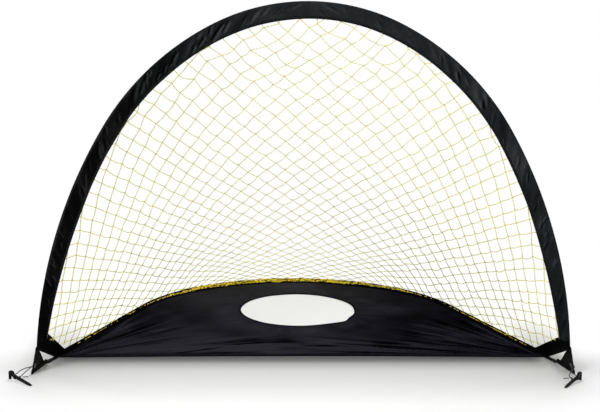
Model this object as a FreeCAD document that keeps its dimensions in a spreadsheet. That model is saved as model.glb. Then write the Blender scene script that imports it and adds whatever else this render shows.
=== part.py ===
"""A pop-up practice goal: a closed loop of sprung wire in fabric sleeves makes a standing front arch and a
rear arch on the ground, with a net between them and a target panel with a round hole inside the rear arch.

Frame: +X to the right along the goal mouth, +Y away from the shooter, +Z up. The origin is on the ground at
the middle of the panel's front hem. Millimetres and degrees.
"""
import FreeCAD, Part
import Sketcher
import math
import os

Vector = FreeCAD.Vector

DIMENSIONS = [
    # The front arch, at the outer edge of its sleeve
    ("arch_height", 1243, "ground to the crown"),
    ("crown_radius", 679, "arc over the crown"),
    ("crown_angle", 27.6, "from the crown to the end of that arc"),
    ("haunch_radius", 889, "arc beside the crown"),
    ("haunch_angle", 58.9, "from the crown to the end of the haunch arc"),
    ("leg_radius", 1662, "arc of the leg"),
    ("leg_angle", 85.4, "from the crown to the end of the leg"),
    ("mouth_forward", 193, "arch plane ahead of the panel's hem line"),
    # The rear arch, at the outer edge of its sleeve
    ("rear_reach", 1063, "hem line to the rear crown"),
    ("rear_radius", 678, "arc of the rear crown"),
    ("rear_angle", 68.9, "from the rear crown to the straight side"),
    ("side_length", 652, "straight side, from the arc to the foot"),
    # Wire and sleeves
    ("wire_diameter", 5, "sprung steel wire"),
    ("tunnel_clearance", 0.9, "wire to the sleeve's tunnel, all round"),
    ("sleeve_wall", 1.2, "fabric of the tunnel"),
    ("sleeve_width", 55, "outer edge to stitched edge"),
    ("sleeve_edge", 2.4, "two layers at the stitched edge"),
    ("ferrule_wall", 0.55, "crimped tube over the wire's ends"),
    ("ferrule_clearance", 0.05, "wire to ferrule, all round"),
    ("ferrule_length", 42, "along the wire"),
    ("binding_width", 8, "tape folded over the stitched edge"),
    ("binding_wall", 0.8, "tape"),
    ("seat_gap", 0.3, "between pieces that are sewn or laid together"),
    # The corner bends
    ("knee_drop", 24, "leg end to the point of the upper bend"),
    ("foot_run", 24, "foot of the rear side to the point of the lower bend"),
    ("knee_share", 0.8, "part of the leg's run that the upper bend takes up"),
    ("foot_share", 0.45, "part of the foot's run that the lower bend takes up"),
    ("band_rise", 55, "slope of the corner band's inner edge above the level"),
    # The panel
    ("panel_thickness", 1.5, "fabric"),
    ("hem_width", 24, "front hem, across"),
    ("hem_wall", 1.2, "webbing of the hem"),
    ("hole_diameter", 458, "target hole in its binding"),
    ("hole_back", 590, "hem line to the middle of the hole"),
    ("hole_tape_width", 10, "binding of the hole"),
    ("hole_tape_wall", 1, "binding of the hole"),
    # Net
    ("net_cord", 5, "across a cord"),
    ("net_scale", 0.0022, "thickness for each millimetre from the sight point"),
    ("net_leg_share", 0.2, "part of each leg that borders the net's side"),
    ("net_side_share", 0.26, "part of each rear side that borders the net's side"),
    ("gather_back", 14, "rear edge of the gathered net, from the sleeve's outer edge"),
    ("gather_width", 36, "gathered net on the rear sleeve"),
    ("gather_height", 9, "gathered net above the sleeve's layers"),
    ("gather_short", 95, "end of the gathered net to the foot of the rear side"),
    # Corner tabs and ground straps
    ("tab_tip_out", 26, "tip of a tab outside the leg's wire"),
    ("tab_thickness", 2.4, "doubled fabric"),
    ("tab_height_share", 1.1, "height of the tab for each unit of the upper bend's height"),
    ("tab_top", 16, "width at the top"),
    ("tab_shoulder", 36, "width where the tab leaves the band"),
    ("tab_shoulder_share", 0.86, "the same where the tab leaves the band"),
    ("tab_hem_height", 15, "folded hem along the ground"),
    ("tab_hem_wall", 1.2, "fabric of the hem"),
    ("strap_width", 20, "webbing"),
    ("strap_thickness", 1.8, "webbing"),
    ("strap_inset", 12, "middle of the strap from the rear side's outer edge"),
    ("strap_length", 97, "foot of the rear side to the tab's hem"),
    ("eyelet_bore", 8, "inside diameter"),
    ("eyelet_flange", 15, "outside diameter"),
    ("eyelet_wall", 0.8, "metal"),
    ("eyelet_back", 16, "from the tab's front edge"),
    ("eyelet_up", 27, "from the tab's bottom edge"),
    # Elastic loops
    ("cord_diameter", 3, "elastic cord"),
    ("knot_diameter", 9, "overhand knot"),
    ("loop_reach", 90, "eyelet to the neck of the stake"),
    ("left_splay", 36, "left loop, turned outwards from straight ahead"),
    ("right_splay", -2, "right loop, turned outwards from straight ahead"),
    # Stakes
    ("shank_length", 88, "neck to point"),
    ("shank_radius", 5, "at the neck"),
    ("point_radius", 3.2, "where the point begins"),
    ("nose_length", 14, "the point"),
    ("neck_height", 15, "axis of the shank above the ground, at the neck"),
    ("nose_height", 4, "axis of the shank above the ground, at the point"),
    ("head_depth", 26, "head, along the shank"),
    ("head_top", 30, "ground to the top of the head"),
    ("head_round", 8, "corners of the head"),
    ("hook_width", 7, "prong that hooks the loop"),
    ("stake_web", 7, "thickness of the flat head"),
    ("left_heading", 50, "left stake, turned inwards from straight ahead"),
    ("right_heading", 42, "right stake, turned inwards from straight ahead"),
]

NET_ACROSS = 30
NET_DEEP = 18
NET_EASING = 4
NET_PULL = 1.7

doc = FreeCAD.newDocument("practice_goal")
sheet = doc.addObject("Spreadsheet::Sheet", "Dimensions")
for row, (alias, number, meaning) in enumerate(DIMENSIONS, 1):
    sheet.set(f"A{row}", meaning)
    sheet.set(f"B{row}", str(number))
    sheet.setAlias(f"B{row}", alias)
doc.recompute()

parts = []


class Size(float):
    """A number that carries the sheet expression which gives it."""

    def __new__(cls, number, text):
        size = super().__new__(cls, number)
        size.text = text
        return size

    def __add__(self, other):
        return Size(float(self) + float(other), f"({self.text} + {text_of(other)})")

    def __radd__(self, other):
        return Size(float(other) + float(self), f"({text_of(other)} + {self.text})")

    def __sub__(self, other):
        return Size(float(self) - float(other), f"({self.text} - {text_of(other)})")

    def __rsub__(self, other):
        return Size(float(other) - float(self), f"({text_of(other)} - {self.text})")

    def __mul__(self, other):
        return Size(float(self) * float(other), f"({self.text} * {text_of(other)})")

    def __truediv__(self, other):
        return Size(float(self) / float(other), f"({self.text} / {text_of(other)})")

    def __neg__(self):
        return Size(-float(self), f"(-1 * {self.text})")


def text_of(number):
    return getattr(number, "text", repr(float(number)))


def size(alias):
    return Size(float(sheet.get(alias)), "Dimensions." + alias)


def sine(angle):
    return Size(math.sin(math.radians(angle)), f"sin({angle.text} * 1 deg)")


def cosine(angle):
    return Size(math.cos(math.radians(angle)), f"cos({angle.text} * 1 deg)")


wire_radius = size("wire_diameter") / 2
tunnel_radius = wire_radius + size("tunnel_clearance")
wire_inset = tunnel_radius + size("sleeve_wall")
binding_inset = size("sleeve_width") + size("binding_wall") + size("seat_gap")
gap = size("seat_gap")
mouth = size("mouth_forward")


class Outline:
    """A sketch on one of a body's own planes, drawn as a chain whose points and radii follow the sheet."""

    def __init__(self, body, role, name):
        self.sketch = body.newObject("Sketcher::SketchObject", name)
        plane = next(f for f in body.Origin.OriginFeatures if f.Role == role)
        self.sketch.AttachmentSupport = [(plane, "")]
        self.sketch.MapMode = "FlatFace"

    def fix(self, kind, index, point, number):
        """Holds a point's coordinate, or a radius, to its expression."""
        axis = {"DistanceX": -2, "DistanceY": -1}.get(kind)
        if axis and abs(number) < 1e-9:
            self.sketch.addConstraint(Sketcher.Constraint("PointOnObject", index, point, axis))
            return
        where = (-1, 1, index, point) if axis else (index,)
        held = self.sketch.addConstraint(Sketcher.Constraint(kind, *where, float(number)))
        if hasattr(number, "text"):
            self.sketch.setExpression(f"Constraints[{held}]", number.text)

    def place(self, index, point, where):
        self.fix("DistanceX", index, point, where[0])
        self.fix("DistanceY", index, point, where[1])

    def chain(self, points, arcs=None, closed=True):
        """Joins the points in turn. arcs maps a segment's number to (centre, radius, turns left)."""
        arcs = arcs or {}
        flat = [Vector(float(x), float(y), 0) for x, y in points]
        count = len(points) if closed else len(points) - 1
        ends = []
        for n in range(count):
            a, b = flat[n], flat[(n + 1) % len(flat)]
            if n in arcs:
                centre, radius, left = arcs[n]
                middle = Vector(float(centre[0]), float(centre[1]), 0)
                first, last = (a, b) if left else (b, a)
                begin = math.atan2(first.y - middle.y, first.x - middle.x)
                end = math.atan2(last.y - middle.y, last.x - middle.x)
                circle = Part.Circle(middle, Vector(0, 0, 1), float(radius))
                end += 2 * math.pi if end < begin else 0
                index = self.sketch.addGeometry(Part.ArcOfCircle(circle, begin, end))
                self.fix("Radius", index, 0, radius)
                ends.append((index, 1, 2) if left else (index, 2, 1))
            else:
                index = self.sketch.addGeometry(Part.LineSegment(a, b))
                ends.append((index, 1, 2))
            self.place(index, ends[-1][1], points[n])
        for n in range(count):
            if closed or n + 1 < count:
                here, after = ends[n], ends[(n + 1) % count]
                joint = Sketcher.Constraint("Coincident", here[0], here[2], after[0], after[1])
                self.sketch.addConstraint(joint)
        if not closed:
            self.place(ends[-1][0], ends[-1][2], points[-1])
        return self.sketch

    def circle(self, centre, radius):
        middle = Vector(float(centre[0]), float(centre[1]), 0)
        index = self.sketch.addGeometry(Part.Circle(middle, Vector(0, 0, 1), float(radius)))
        self.place(index, 3, centre)
        self.fix("Radius", index, 0, radius)
        return self.sketch


def new_body(label, back=None):
    """A body for one piece, moved along Y by back."""
    body = doc.addObject("PartDesign::Body", label)
    body.Label = label
    if back is not None:
        body.Placement.Base.y = float(back)
        body.setExpression("Placement.Base.y", back.text)
    parts.append(body)
    return body


def pad(body, sketch, length, symmetric=True):
    feature = body.newObject("PartDesign::Pad", body.Label + "_pad")
    feature.Profile = sketch
    feature.Length = float(length)
    feature.setExpression("Length", length.text)
    feature.Midplane = symmetric
    sketch.Visibility = False
    return feature


def shape_piece(label, shape):
    piece = doc.addObject("Part::Feature", label)
    piece.Label = label
    piece.Shape = shape
    parts.append(piece)
    return piece


# Lines of the two arches, half of each, from the crown to its end


def front_arcs():
    """Centre heights and turns of the front arch's three arcs."""
    low = size("arch_height") - size("crown_radius")
    side = size("crown_radius") * 0
    runs = [("crown_radius", None, "crown_angle"), ("haunch_radius", "crown_angle", "haunch_angle")]
    runs.append(("leg_radius", "haunch_angle", "leg_angle"))
    arcs, before = [], None
    for radius, start, end in runs:
        if start:
            change = size(before) - size(radius)
            side = side + change * sine(size(start))
            low = low + change * cosine(size(start))
        arcs.append(((side, low), size(radius), size(end)))
        before = radius
    return arcs


def front_line(inset):
    """Points of the right half, inset from the sleeve's outer edge, and its arcs."""
    points, arcs = [], {}
    for n, (centre, radius, end) in enumerate(front_arcs()):
        line = radius - inset
        if n == 0:
            points.append((0, centre[1] + line))
        points.append((centre[0] + line * sine(end), centre[1] + line * cosine(end)))
        arcs[n] = (centre, line, False)
    return points, arcs


def rear_line(inset, short=0):
    """Points of the right half of the rear arch, and its arc."""
    turn, line = size("rear_angle"), size("rear_radius") - inset
    middle = size("rear_reach") - size("rear_radius")
    bend = (line * sine(turn), middle + line * cosine(turn))
    length = size("side_length") - short
    foot = (bend[0] + length * cosine(turn), bend[1] - length * sine(turn))
    return [(0, middle + line), bend, foot], {0: ((0, middle), line, False)}


def swept(label, line, role, section, back=None):
    """Sweeps a section that stands on the middle plane down one half, and mirrors it."""
    body = new_body(label, back)
    path = Outline(body, role, label + "_path").chain(*line, closed=False)
    profile = section(Outline(body, "YZ_Plane", label + "_section"))
    sweep = body.newObject("PartDesign::AdditivePipe", label + "_sweep")
    sweep.Profile = profile
    sweep.Spine = (path, [])
    both = body.newObject("PartDesign::Mirrored", label + "_both")
    both.Originals = [sweep]
    plane = next(f for f in body.Origin.OriginFeatures if f.Role == "YZ_Plane")
    both.MirrorPlane = (plane, [""])
    body.Tip = both
    return body


# Front arch


def front_sleeve_section(outline):
    """Tunnel over the wire, then two layers that taper to the stitched edge."""
    centre = size("arch_height") - wire_inset
    top = centre + wire_inset
    edge = top - size("sleeve_width")
    half = size("sleeve_edge") / 2
    points = [(wire_inset, centre), (0, top), (-wire_inset, centre), (-half, edge), (half, edge)]
    around = ((0, centre), wire_inset, True)
    outline.chain(points, {0: around, 1: around})
    return outline.circle((0, centre), tunnel_radius)


def front_wire_section(outline):
    return outline.circle((0, size("arch_height") - wire_inset), wire_radius)


def front_binding_section(outline):
    """A tape folded over the stitched edge."""
    wall, width = size("binding_wall"), size("binding_width")
    inside = size("sleeve_edge") / 2 + gap
    spread = inside + width * (wire_inset - size("sleeve_edge") / 2) / (size("sleeve_width") - wire_inset)
    low = size("arch_height") - binding_inset
    ring = [(inside + wall, low), (spread + wall, low + width), (spread, low + width), (inside, low + wall)]
    return outline.chain(ring + [(-across, up) for across, up in ring[::-1]])


swept("front_sleeve", front_line(wire_inset), "XZ_Plane", front_sleeve_section, -mouth)
swept("front_hoop_wire", front_line(wire_inset), "XZ_Plane", front_wire_section, -mouth)
swept("front_seam_binding", front_line(binding_inset), "XZ_Plane", front_binding_section, -mouth)


# Rear arch, on the ground


def rear_sleeve_section(outline):
    """The same tunnel and layers, flat underneath where they lie on the ground."""
    outer = size("rear_reach")
    crest = wire_inset * 2
    across = outer - wire_inset
    inner = outer - size("sleeve_width")
    points = [(inner, 0), (across, 0), (outer, wire_inset), (across, crest), (inner, size("sleeve_edge"))]
    around = ((across, wire_inset), wire_inset, True)
    outline.chain(points, {1: around, 2: around})
    return outline.circle((across, wire_inset), tunnel_radius)


def rear_wire_section(outline):
    return outline.circle((size("rear_reach") - wire_inset, wire_inset), wire_radius)


def layers_top(inset):
    """Height of the rear sleeve's layers, a distance in from its outer edge."""
    fall = (wire_inset * 2 - size("sleeve_edge")) / (size("sleeve_width") - wire_inset)
    return wire_inset * 2 - (inset - wire_inset) * fall


def gather_section(outline):
    """The net's gathered edge, a low roll lying on the layers of the rear sleeve."""
    outer = size("rear_reach")
    rear, front = size("gather_back"), size("gather_back") + size("gather_width")
    high = size("gather_height")
    ring = [(front, gap), (rear, gap), (rear, gap + high / 6)]
    ring += [(rear + 10, gap + high * 0.7), (front - 8, gap + high), (front, gap + high / 2)]
    return outline.chain([(outer - inset, layers_top(inset) + up) for inset, up in ring])


swept("rear_sleeve", rear_line(wire_inset), "XY_Plane", rear_sleeve_section)
swept("rear_hoop_wire", rear_line(wire_inset), "XY_Plane", rear_wire_section)
swept("net_rear_gather", rear_line(size("gather_back"), size("gather_short")), "XY_Plane", gather_section)


def hoop_ferrule():
    """The crimped tube that joins the wire's ends at the rear crown, curved as the wire is."""
    body = new_body("hoop_ferrule")
    line = size("rear_radius") - wire_inset
    middle = size("rear_reach") - size("rear_radius")
    turn = size("ferrule_length") / line / 2
    spread = Size(math.degrees(turn), f"({turn.text} * 57.29578)")
    end = (line * sine(spread), middle + line * cosine(spread))
    points = [(0, middle + line), end]
    path = Outline(body, "XY_Plane", "ferrule_path").chain(points, {0: ((0, middle), line, False)}, False)
    bore = wire_radius + size("ferrule_clearance")
    ring = Outline(body, "YZ_Plane", "ferrule_section")
    ring.circle((middle + line, wire_inset), bore)
    sweep = body.newObject("PartDesign::AdditivePipe", "ferrule_sweep")
    sweep.Profile = ring.circle((middle + line, wire_inset), bore + size("ferrule_wall"))
    sweep.Spine = (path, [])
    both = body.newObject("PartDesign::Mirrored", "ferrule_both")
    both.Originals = [sweep]
    both.MirrorPlane = (next(f for f in body.Origin.OriginFeatures if f.Role == "YZ_Plane"), [""])
    body.Tip = both


hoop_ferrule()


# Target panel


def panel_outline(outline):
    """Straight front edge, straight sides and a round back, inside the rear sleeve."""
    points, arcs = rear_line(size("sleeve_width") + gap)
    turn = size("rear_angle")
    front = -size("hem_width") / 2
    side = points[1]
    corner = (side[0] + (side[1] - front) * cosine(turn) / sine(turn), front)
    ring = [corner, side, (-side[0], side[1]), (-corner[0], front)]
    centre, radius, _ = arcs[0]
    return outline.chain(ring, {1: (centre, radius, True)})


def target_panel():
    body = new_body("target_panel")
    cloth = pad(body, panel_outline(Outline(body, "XY_Plane", "panel_outline")), size("panel_thickness"), False)
    doc.recompute()
    before = cloth.Shape.Volume
    hole = Outline(body, "XY_Plane", "panel_hole")
    tape = size("hole_tape_wall") + size("seat_gap")
    hole.circle((0, size("hole_back")), size("hole_diameter") / 2 + tape)
    cut = body.newObject("PartDesign::Pocket", "panel_target_hole")
    cut.Profile = hole.sketch
    cut.Type = "ThroughAll"
    cut.Midplane = True
    doc.recompute()
    if cut.Shape.Volume >= before:
        raise ValueError("the target hole cuts nothing")


def target_hole_binding():
    """A tape over the hole's edge, down to the ground inside it."""
    body = new_body("target_hole_binding", size("hole_back"))
    outline = Outline(body, "XZ_Plane", "binding_section")
    inner = size("hole_diameter") / 2
    wall = size("hole_tape_wall")
    low = size("panel_thickness") + gap
    high = low + wall
    outer = inner + size("hole_tape_width")
    ring = [(inner, 0), (inner + wall, 0), (inner + wall, low), (outer, low), (outer, high), (inner, high)]
    sketch = outline.chain(ring)
    turned = body.newObject("PartDesign::Revolution", "binding_ring")
    turned.Profile = sketch
    turned.ReferenceAxis = (next(f for f in body.Origin.OriginFeatures if f.Role == "Z_Axis"), [""])
    turned.Angle = 360


def panel_front_hem():
    """Webbing folded over the panel's front edge."""
    body = new_body("panel_front_hem")
    half = size("hem_width") / 2
    wall = size("hem_wall")
    low = size("panel_thickness") + gap
    high = low + wall
    front = -half - gap - wall
    ring = [(front, 0), (front + wall, 0), (front + wall, low), (half, low), (half, high), (front, high)]
    sketch = Outline(body, "YZ_Plane", "hem_section").chain(ring)
    points, _ = rear_line(size("sleeve_width") + gap)
    turn = size("rear_angle")
    reach = points[1][0] + (points[1][1] - half) * cosine(turn) / sine(turn)
    pad(body, sketch, (reach - gap) * 2)


target_panel()
target_hole_binding()
panel_front_hem()


# Corner bends, worked out on the right and mirrored to the left


def ground_point(point, height=0.0):
    return Vector(float(point[0]), float(point[1]), float(height))


def arch_point(point):
    return Vector(float(point[0]), -float(mouth), float(point[1]))


def bend_radius(before, corner, after, run):
    """Radius of the arc that takes up a run on each side of the corner."""
    turn = (corner - before).getAngle(after - corner)
    return run / math.tan(turn / 2)


def rounded(points, radii):
    """Straight runs joined by tangent arcs at the inner points."""
    edges, last = [], points[0]
    for before, corner, after, radius in zip(points, points[1:], points[2:], radii):
        toward, away = (corner - before).normalize(), (after - corner).normalize()
        turn = toward.getAngle(away)
        back = radius * math.tan(turn / 2)
        start, end = corner - toward * back, corner + away * back
        rise = radius / math.cos(turn / 2) - radius
        middle = corner + (away - toward).normalize() * rise
        if (start - last).Length > 1e-6:
            edges.append(Part.LineSegment(last, start).toShape())
        edges.append(Part.Arc(start, middle, end).toShape())
        last = end
    edges.append(Part.LineSegment(last, points[-1]).toShape())
    return Part.Wire(edges)


def tube(path, radius):
    """A round bar along a path, checked against its section times its length."""
    start = path.Edges[0]
    begin = start.valueAt(start.FirstParameter)
    heading = start.tangentAt(start.FirstParameter)
    ring = Part.Wire(Part.Circle(begin, heading, radius).toShape())
    bar = path.makePipeShell([ring], True, False)
    ideal = math.pi * radius ** 2 * path.Length
    if abs(bar.Volume - ideal) > 0.02 * ideal:
        raise ValueError(f"a tube holds {bar.Volume:.0f} mm3 and should hold {ideal:.0f}")
    return bar


def unit_across(direction, hint):
    """The unit vector nearest to hint that stands square to direction."""
    return (hint - direction * hint.dot(direction)).normalize()


leg_end = arch_point(front_line(wire_inset)[0][-1])
leg_way = Vector(cosine(size("leg_angle")), 0, -sine(size("leg_angle")))
foot = ground_point(rear_line(wire_inset)[0][-1], wire_inset)
side_way = Vector(-cosine(size("rear_angle")), sine(size("rear_angle")), 0)
side_in = Vector(-side_way.y, side_way.x, 0)
knee = leg_end + leg_way * float(size("knee_drop"))
ankle = foot - side_way * float(size("foot_run"))
band_way = (ankle - knee).normalize()
rise = size("band_rise")
band_in = unit_across(band_way, Vector(-cosine(rise), 0, sine(rise)))
knee_run = float(size("knee_drop") * size("knee_share"))
ankle_run = float(size("foot_run") * size("foot_share"))


def corner_wire_path():
    points = [leg_end + leg_way * float(gap), knee, ankle, foot - side_way * float(gap)]
    radii = [bend_radius(leg_end, knee, ankle, knee_run), bend_radius(knee, ankle, foot, ankle_run)]
    return rounded(points, radii)


def sleeve_outline(centre, inward, normal):
    """The tunnel and layers of a sleeve as a closed wire round a point of the wire's line."""
    outer = float(wire_inset)
    reach = float(size("sleeve_width")) - outer
    half = float(size("sleeve_edge")) / 2
    left, right = centre + normal * outer, centre - normal * outer
    back = centre - inward * outer
    slant = math.sqrt(0.5) * outer
    first = Part.Arc(left, centre - inward * slant + normal * slant, back)
    second = Part.Arc(back, centre - inward * slant - normal * slant, right)
    low, high = centre + inward * reach - normal * half, centre + inward * reach + normal * half
    lines = [Part.LineSegment(right, low), Part.LineSegment(low, high), Part.LineSegment(high, left)]
    return Part.Wire([edge.toShape() for edge in (first, second, *lines)])


def corner_stations():
    """Points, ways and inward directions along the corner sleeve, close together round the knee."""
    turn = leg_way.getAngle(band_way)
    radius = bend_radius(leg_end, knee, ankle, knee_run)
    start, axis = knee - leg_way * knee_run, leg_way.cross(band_way).normalize()
    hub = start + unit_across(leg_way, band_way) * radius
    stations = [(leg_end + leg_way * float(gap), leg_way, Vector(-1, 0, 0), 0.0)]
    steps = 4
    for n in range(steps + 1):
        swing = FreeCAD.Rotation(axis, math.degrees(turn) * n / steps)
        stations.append((hub + swing.multVec(start - hub), swing.multVec(leg_way), None, n / steps))
    beyond = ankle + band_way * float(size("sleeve_width")) * 3
    stations.append((beyond, band_way, band_in, 1.0))
    return stations


def corner_sleeve_shape():
    """A band from the leg's end to the ground, folded round the knee and cut off above the rear sleeve."""
    outlines, bores = [], []
    first = unit_across(leg_way, Vector(-1, 0, 0))
    for centre, way, _, share in corner_stations():
        inward = unit_across(way, first * (1 - share) + band_in * share)
        normal = way.cross(inward)
        outlines.append(sleeve_outline(centre, inward, normal))
        bores.append(Part.Wire(Part.Circle(centre, way, float(tunnel_radius)).toShape()))
    band = Part.makeLoft(outlines, True, True).cut(Part.makeLoft(bores, True, True))
    level = float(wire_inset * 2 + gap)
    span = float(size("arch_height"))
    ground = Part.makeBox(4 * span, 4 * span, span, Vector(-2 * span, -2 * span, level - span))
    return band.cut(ground)


def both_sides(label, shape):
    """A piece on the right, and its mirror image on the left."""
    shape_piece(label + "_right", shape)
    shape_piece(label + "_left", shape.mirror(Vector(0, 0, 0), Vector(1, 0, 0)))


both_sides("corner_wire", tube(corner_wire_path(), float(wire_radius)))
both_sides("corner_sleeve", corner_sleeve_shape())


# Net


def cut_points(points, count):
    """Count + 1 points at even distances along a chain of straight runs."""
    runs = [(b - a).Length for a, b in zip(points, points[1:])]
    total, found = sum(runs), []
    for n in range(count + 1):
        left, i = total * n / count, 0
        while i < len(runs) - 1 and left > runs[i]:
            left -= runs[i]
            i += 1
        found.append(points[i] + (points[i + 1] - points[i]) * (left / runs[i]))
    return found


def fine_line(line, lift, steps=24):
    """A half arch as many short chords, in space, from its far end up to the crown."""
    points, arcs = line
    flat = [points[0]]
    for n in range(len(points) - 1):
        a, b = points[n], points[n + 1]
        if n not in arcs:
            flat.append(b)
            continue
        (cx, cy), radius, _ = arcs[n]
        begin = math.atan2(a[1] - cy, a[0] - cx)
        end = math.atan2(b[1] - cy, b[0] - cx)
        turns = [begin + (end - begin) * k / steps for k in range(1, steps + 1)]
        flat += [(cx + radius * math.cos(t), cy + radius * math.sin(t)) for t in turns]
    return [lift(p) for p in flat][::-1]


def mirrored(points):
    return [Vector(-p.x, p.y, p.z) for p in points]


def net_borders():
    """The net's four borders: over the arch, along the rear arch, and round each corner."""
    rear_inset = size("gather_back") - 2
    rear_height = float(layers_top(rear_inset) + size("gather_height") / 6 + gap + 2.6)
    behind = Vector(0, float(size("sleeve_edge") / 2 + size("binding_wall") + gap * 2 + 0.4), 0)
    arch = cut_points(fine_line(front_line(binding_inset - 1), lambda p: arch_point(p) + behind), 200)
    ground = cut_points(fine_line(rear_line(rear_inset), lambda p: ground_point(p, rear_height)), 200)
    cut_leg = int(200 * size("net_leg_share"))
    cut_side = int(200 * size("net_side_share"))
    width = float(size("sleeve_width") - wire_inset + gap * 2)
    band_top = knee + band_way * knee_run + band_in * width
    band_low = band_top + band_way * ((band_top.z - rear_height) / -band_way.z)
    leg = [p for p in arch[:cut_leg + 1] if p.z > band_top.z + 8]
    side = [p for p in ground[:cut_side + 1] if p.y > band_low.y + 20]
    over = arch[cut_leg:] + mirrored(arch[cut_leg:-1])[::-1]
    round_back = ground[cut_side:] + mirrored(ground[cut_side:-1])[::-1]
    right = cut_points(leg[::-1] + [band_top, band_low] + side, NET_DEEP)
    print("net border", leg[-1], leg[0], band_top, band_low, side[0], side[-1])
    return cut_points(over, NET_ACROSS), cut_points(round_back, NET_ACROSS), right, mirrored(right)


def net_points():
    """A surface stretched between the four borders, with its folds eased out. The sides pull it down."""
    front, rear, right, left = net_borders()
    grid = []
    for i in range(NET_ACROSS + 1):
        u, column = i / NET_ACROSS, []
        for j in range(NET_DEEP + 1):
            v = j / NET_DEEP
            point = front[i] * (1 - v) + rear[i] * v
            for side, pull in ((right, (1 - u) ** NET_PULL), (left, u ** NET_PULL)):
                point += (side[j] - side[0] * (1 - v) - side[-1] * v) * pull
            column.append(point)
        grid.append(column)
    for _ in range(NET_EASING):
        eased = [column[:] for column in grid]
        for i in range(1, NET_ACROSS):
            for j in range(1, NET_DEEP):
                around = grid[i - 1][j] + grid[i + 1][j] + grid[i][j - 1] + grid[i][j + 1]
                eased[i][j] = around * 0.25
        grid = eased
    return grid


def toward(a, b, share):
    return a + (b - a) * share


def mesh_hole(corners, half):
    """The gap inside one mesh, a cord's half width from its sides, split on the second and last corners."""
    first, second, third, last = corners
    middle = (second + last) * 0.5
    hole = []
    for n, corner in enumerate(corners):
        before, after = corners[n - 1], corners[(n + 1) % 4]
        open_angle = (before - corner).getAngle(after - corner)
        reach = half / max(math.sin(open_angle / 2), 0.2)
        span = (middle - corner).Length
        hole.append(toward(corner, middle, min(reach / span, 0.8)))
    return hole


def net_shape():
    """Diamond meshes as flat facets, each split across its middle, with an inner copy drawn towards a
    sight point below the goal, so that every wall between the two is flat."""
    grid = net_points()
    sight = Vector(0, -float(mouth), -float(size("arch_height")) / 2)
    shrink = 1 - float(size("net_scale"))
    half = float(size("net_cord")) / 2
    facets, rims = [], {}

    def inner(point):
        return sight + (point - sight) * shrink

    def at(i, j):
        return grid[min(max(i, 0), NET_ACROSS)][min(max(j, 0), NET_DEEP)]

    def add(ring):
        facets.append(Part.Face(Part.makePolygon(ring + ring[:1])))
        under = [inner(p) for p in ring][::-1]
        facets.append(Part.Face(Part.makePolygon(under + under[:1])))
        for a, b in zip(ring, ring[1:] + ring[:1]):
            key = frozenset((tuple(round(c, 5) for c in a), tuple(round(c, 5) for c in b)))
            rims[key] = None if key in rims else (a, b)

    for i in range(NET_ACROSS + 1):
        for j in range(NET_DEEP + 1):
            if (i + j) % 2 == 0:
                continue
            corners = [at(i - 1, j), at(i, j - 1), at(i + 1, j), at(i, j + 1)]
            if i in (0, NET_ACROSS):
                corners = corners[1:] + corners[:1]
            hole = mesh_hole(corners, half)
            first, second, third, last = corners
            add([second, first, last, hole[3], hole[0], hole[1]])
            add([last, third, second, hole[1], hole[2], hole[3]])
    for edge in rims.values():
        if edge:
            a, b = edge
            ring = [b, a, inner(a), inner(b), b]
            facets.append(Part.Face(Part.makePolygon(ring)))
    shell = Part.makeShell(facets)
    shell.sewShape()
    solid = Part.makeSolid(shell)
    return solid if solid.Volume > 0 else solid.reversed()


shape_piece("net", net_shape())


# Corner tabs, hems, eyelets and ground straps


class TabFrame:
    """Where a tab stands: its tip, the way along its foot, the way up it and its outward normal."""

    def __init__(self, sign):
        outer = ground_point(rear_line(size("strap_inset"))[0][-1])
        strap_end = outer - side_way * float(size("strap_length"))
        tip = Vector(leg_end.x + float(size("tab_tip_out")), -float(mouth), 0)
        along = (strap_end - tip).normalize()
        inward = Vector(-along.y, along.x, 0)
        near = knee + band_way * float(size("tab_shoulder")) - tip
        side, up = near.dot(inward), near.z
        clear = float(wire_inset + size("tab_thickness") / 2 + gap)
        lean = math.atan2(side, up) - math.asin(clear / math.hypot(side, up))
        rising = Vector(0, 0, 1) * math.cos(lean) + inward * math.sin(lean)
        self.sign = sign
        self.base = (strap_end - tip).Length
        self.lift = float(size("tab_thickness") / 2 + size("tab_hem_wall") + gap) * math.sin(lean)
        self.tip = self.turned(tip + Vector(0, 0, self.lift))
        self.along, self.rising = self.turned(along), self.turned(rising)
        self.outward = self.turned(rising.cross(along)).normalize()
        self.strap_start = self.turned(strap_end)

    def turned(self, vector):
        return Vector(vector.x * self.sign, vector.y, vector.z)

    def point(self, back, up, out=0.0):
        return self.tip + self.along * back + self.rising * up + self.outward * out

    def placement(self, back=0.0, up=0.0):
        """Local X along the foot, local Y up the tab."""
        third = self.along.cross(self.rising)
        origin = self.point(back, up)
        columns = (self.along, self.rising, third, origin)
        values = []
        for row in range(3):
            values += [column[row] for column in columns]
        return FreeCAD.Placement(FreeCAD.Matrix(*values, 0, 0, 0, 1))


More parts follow.
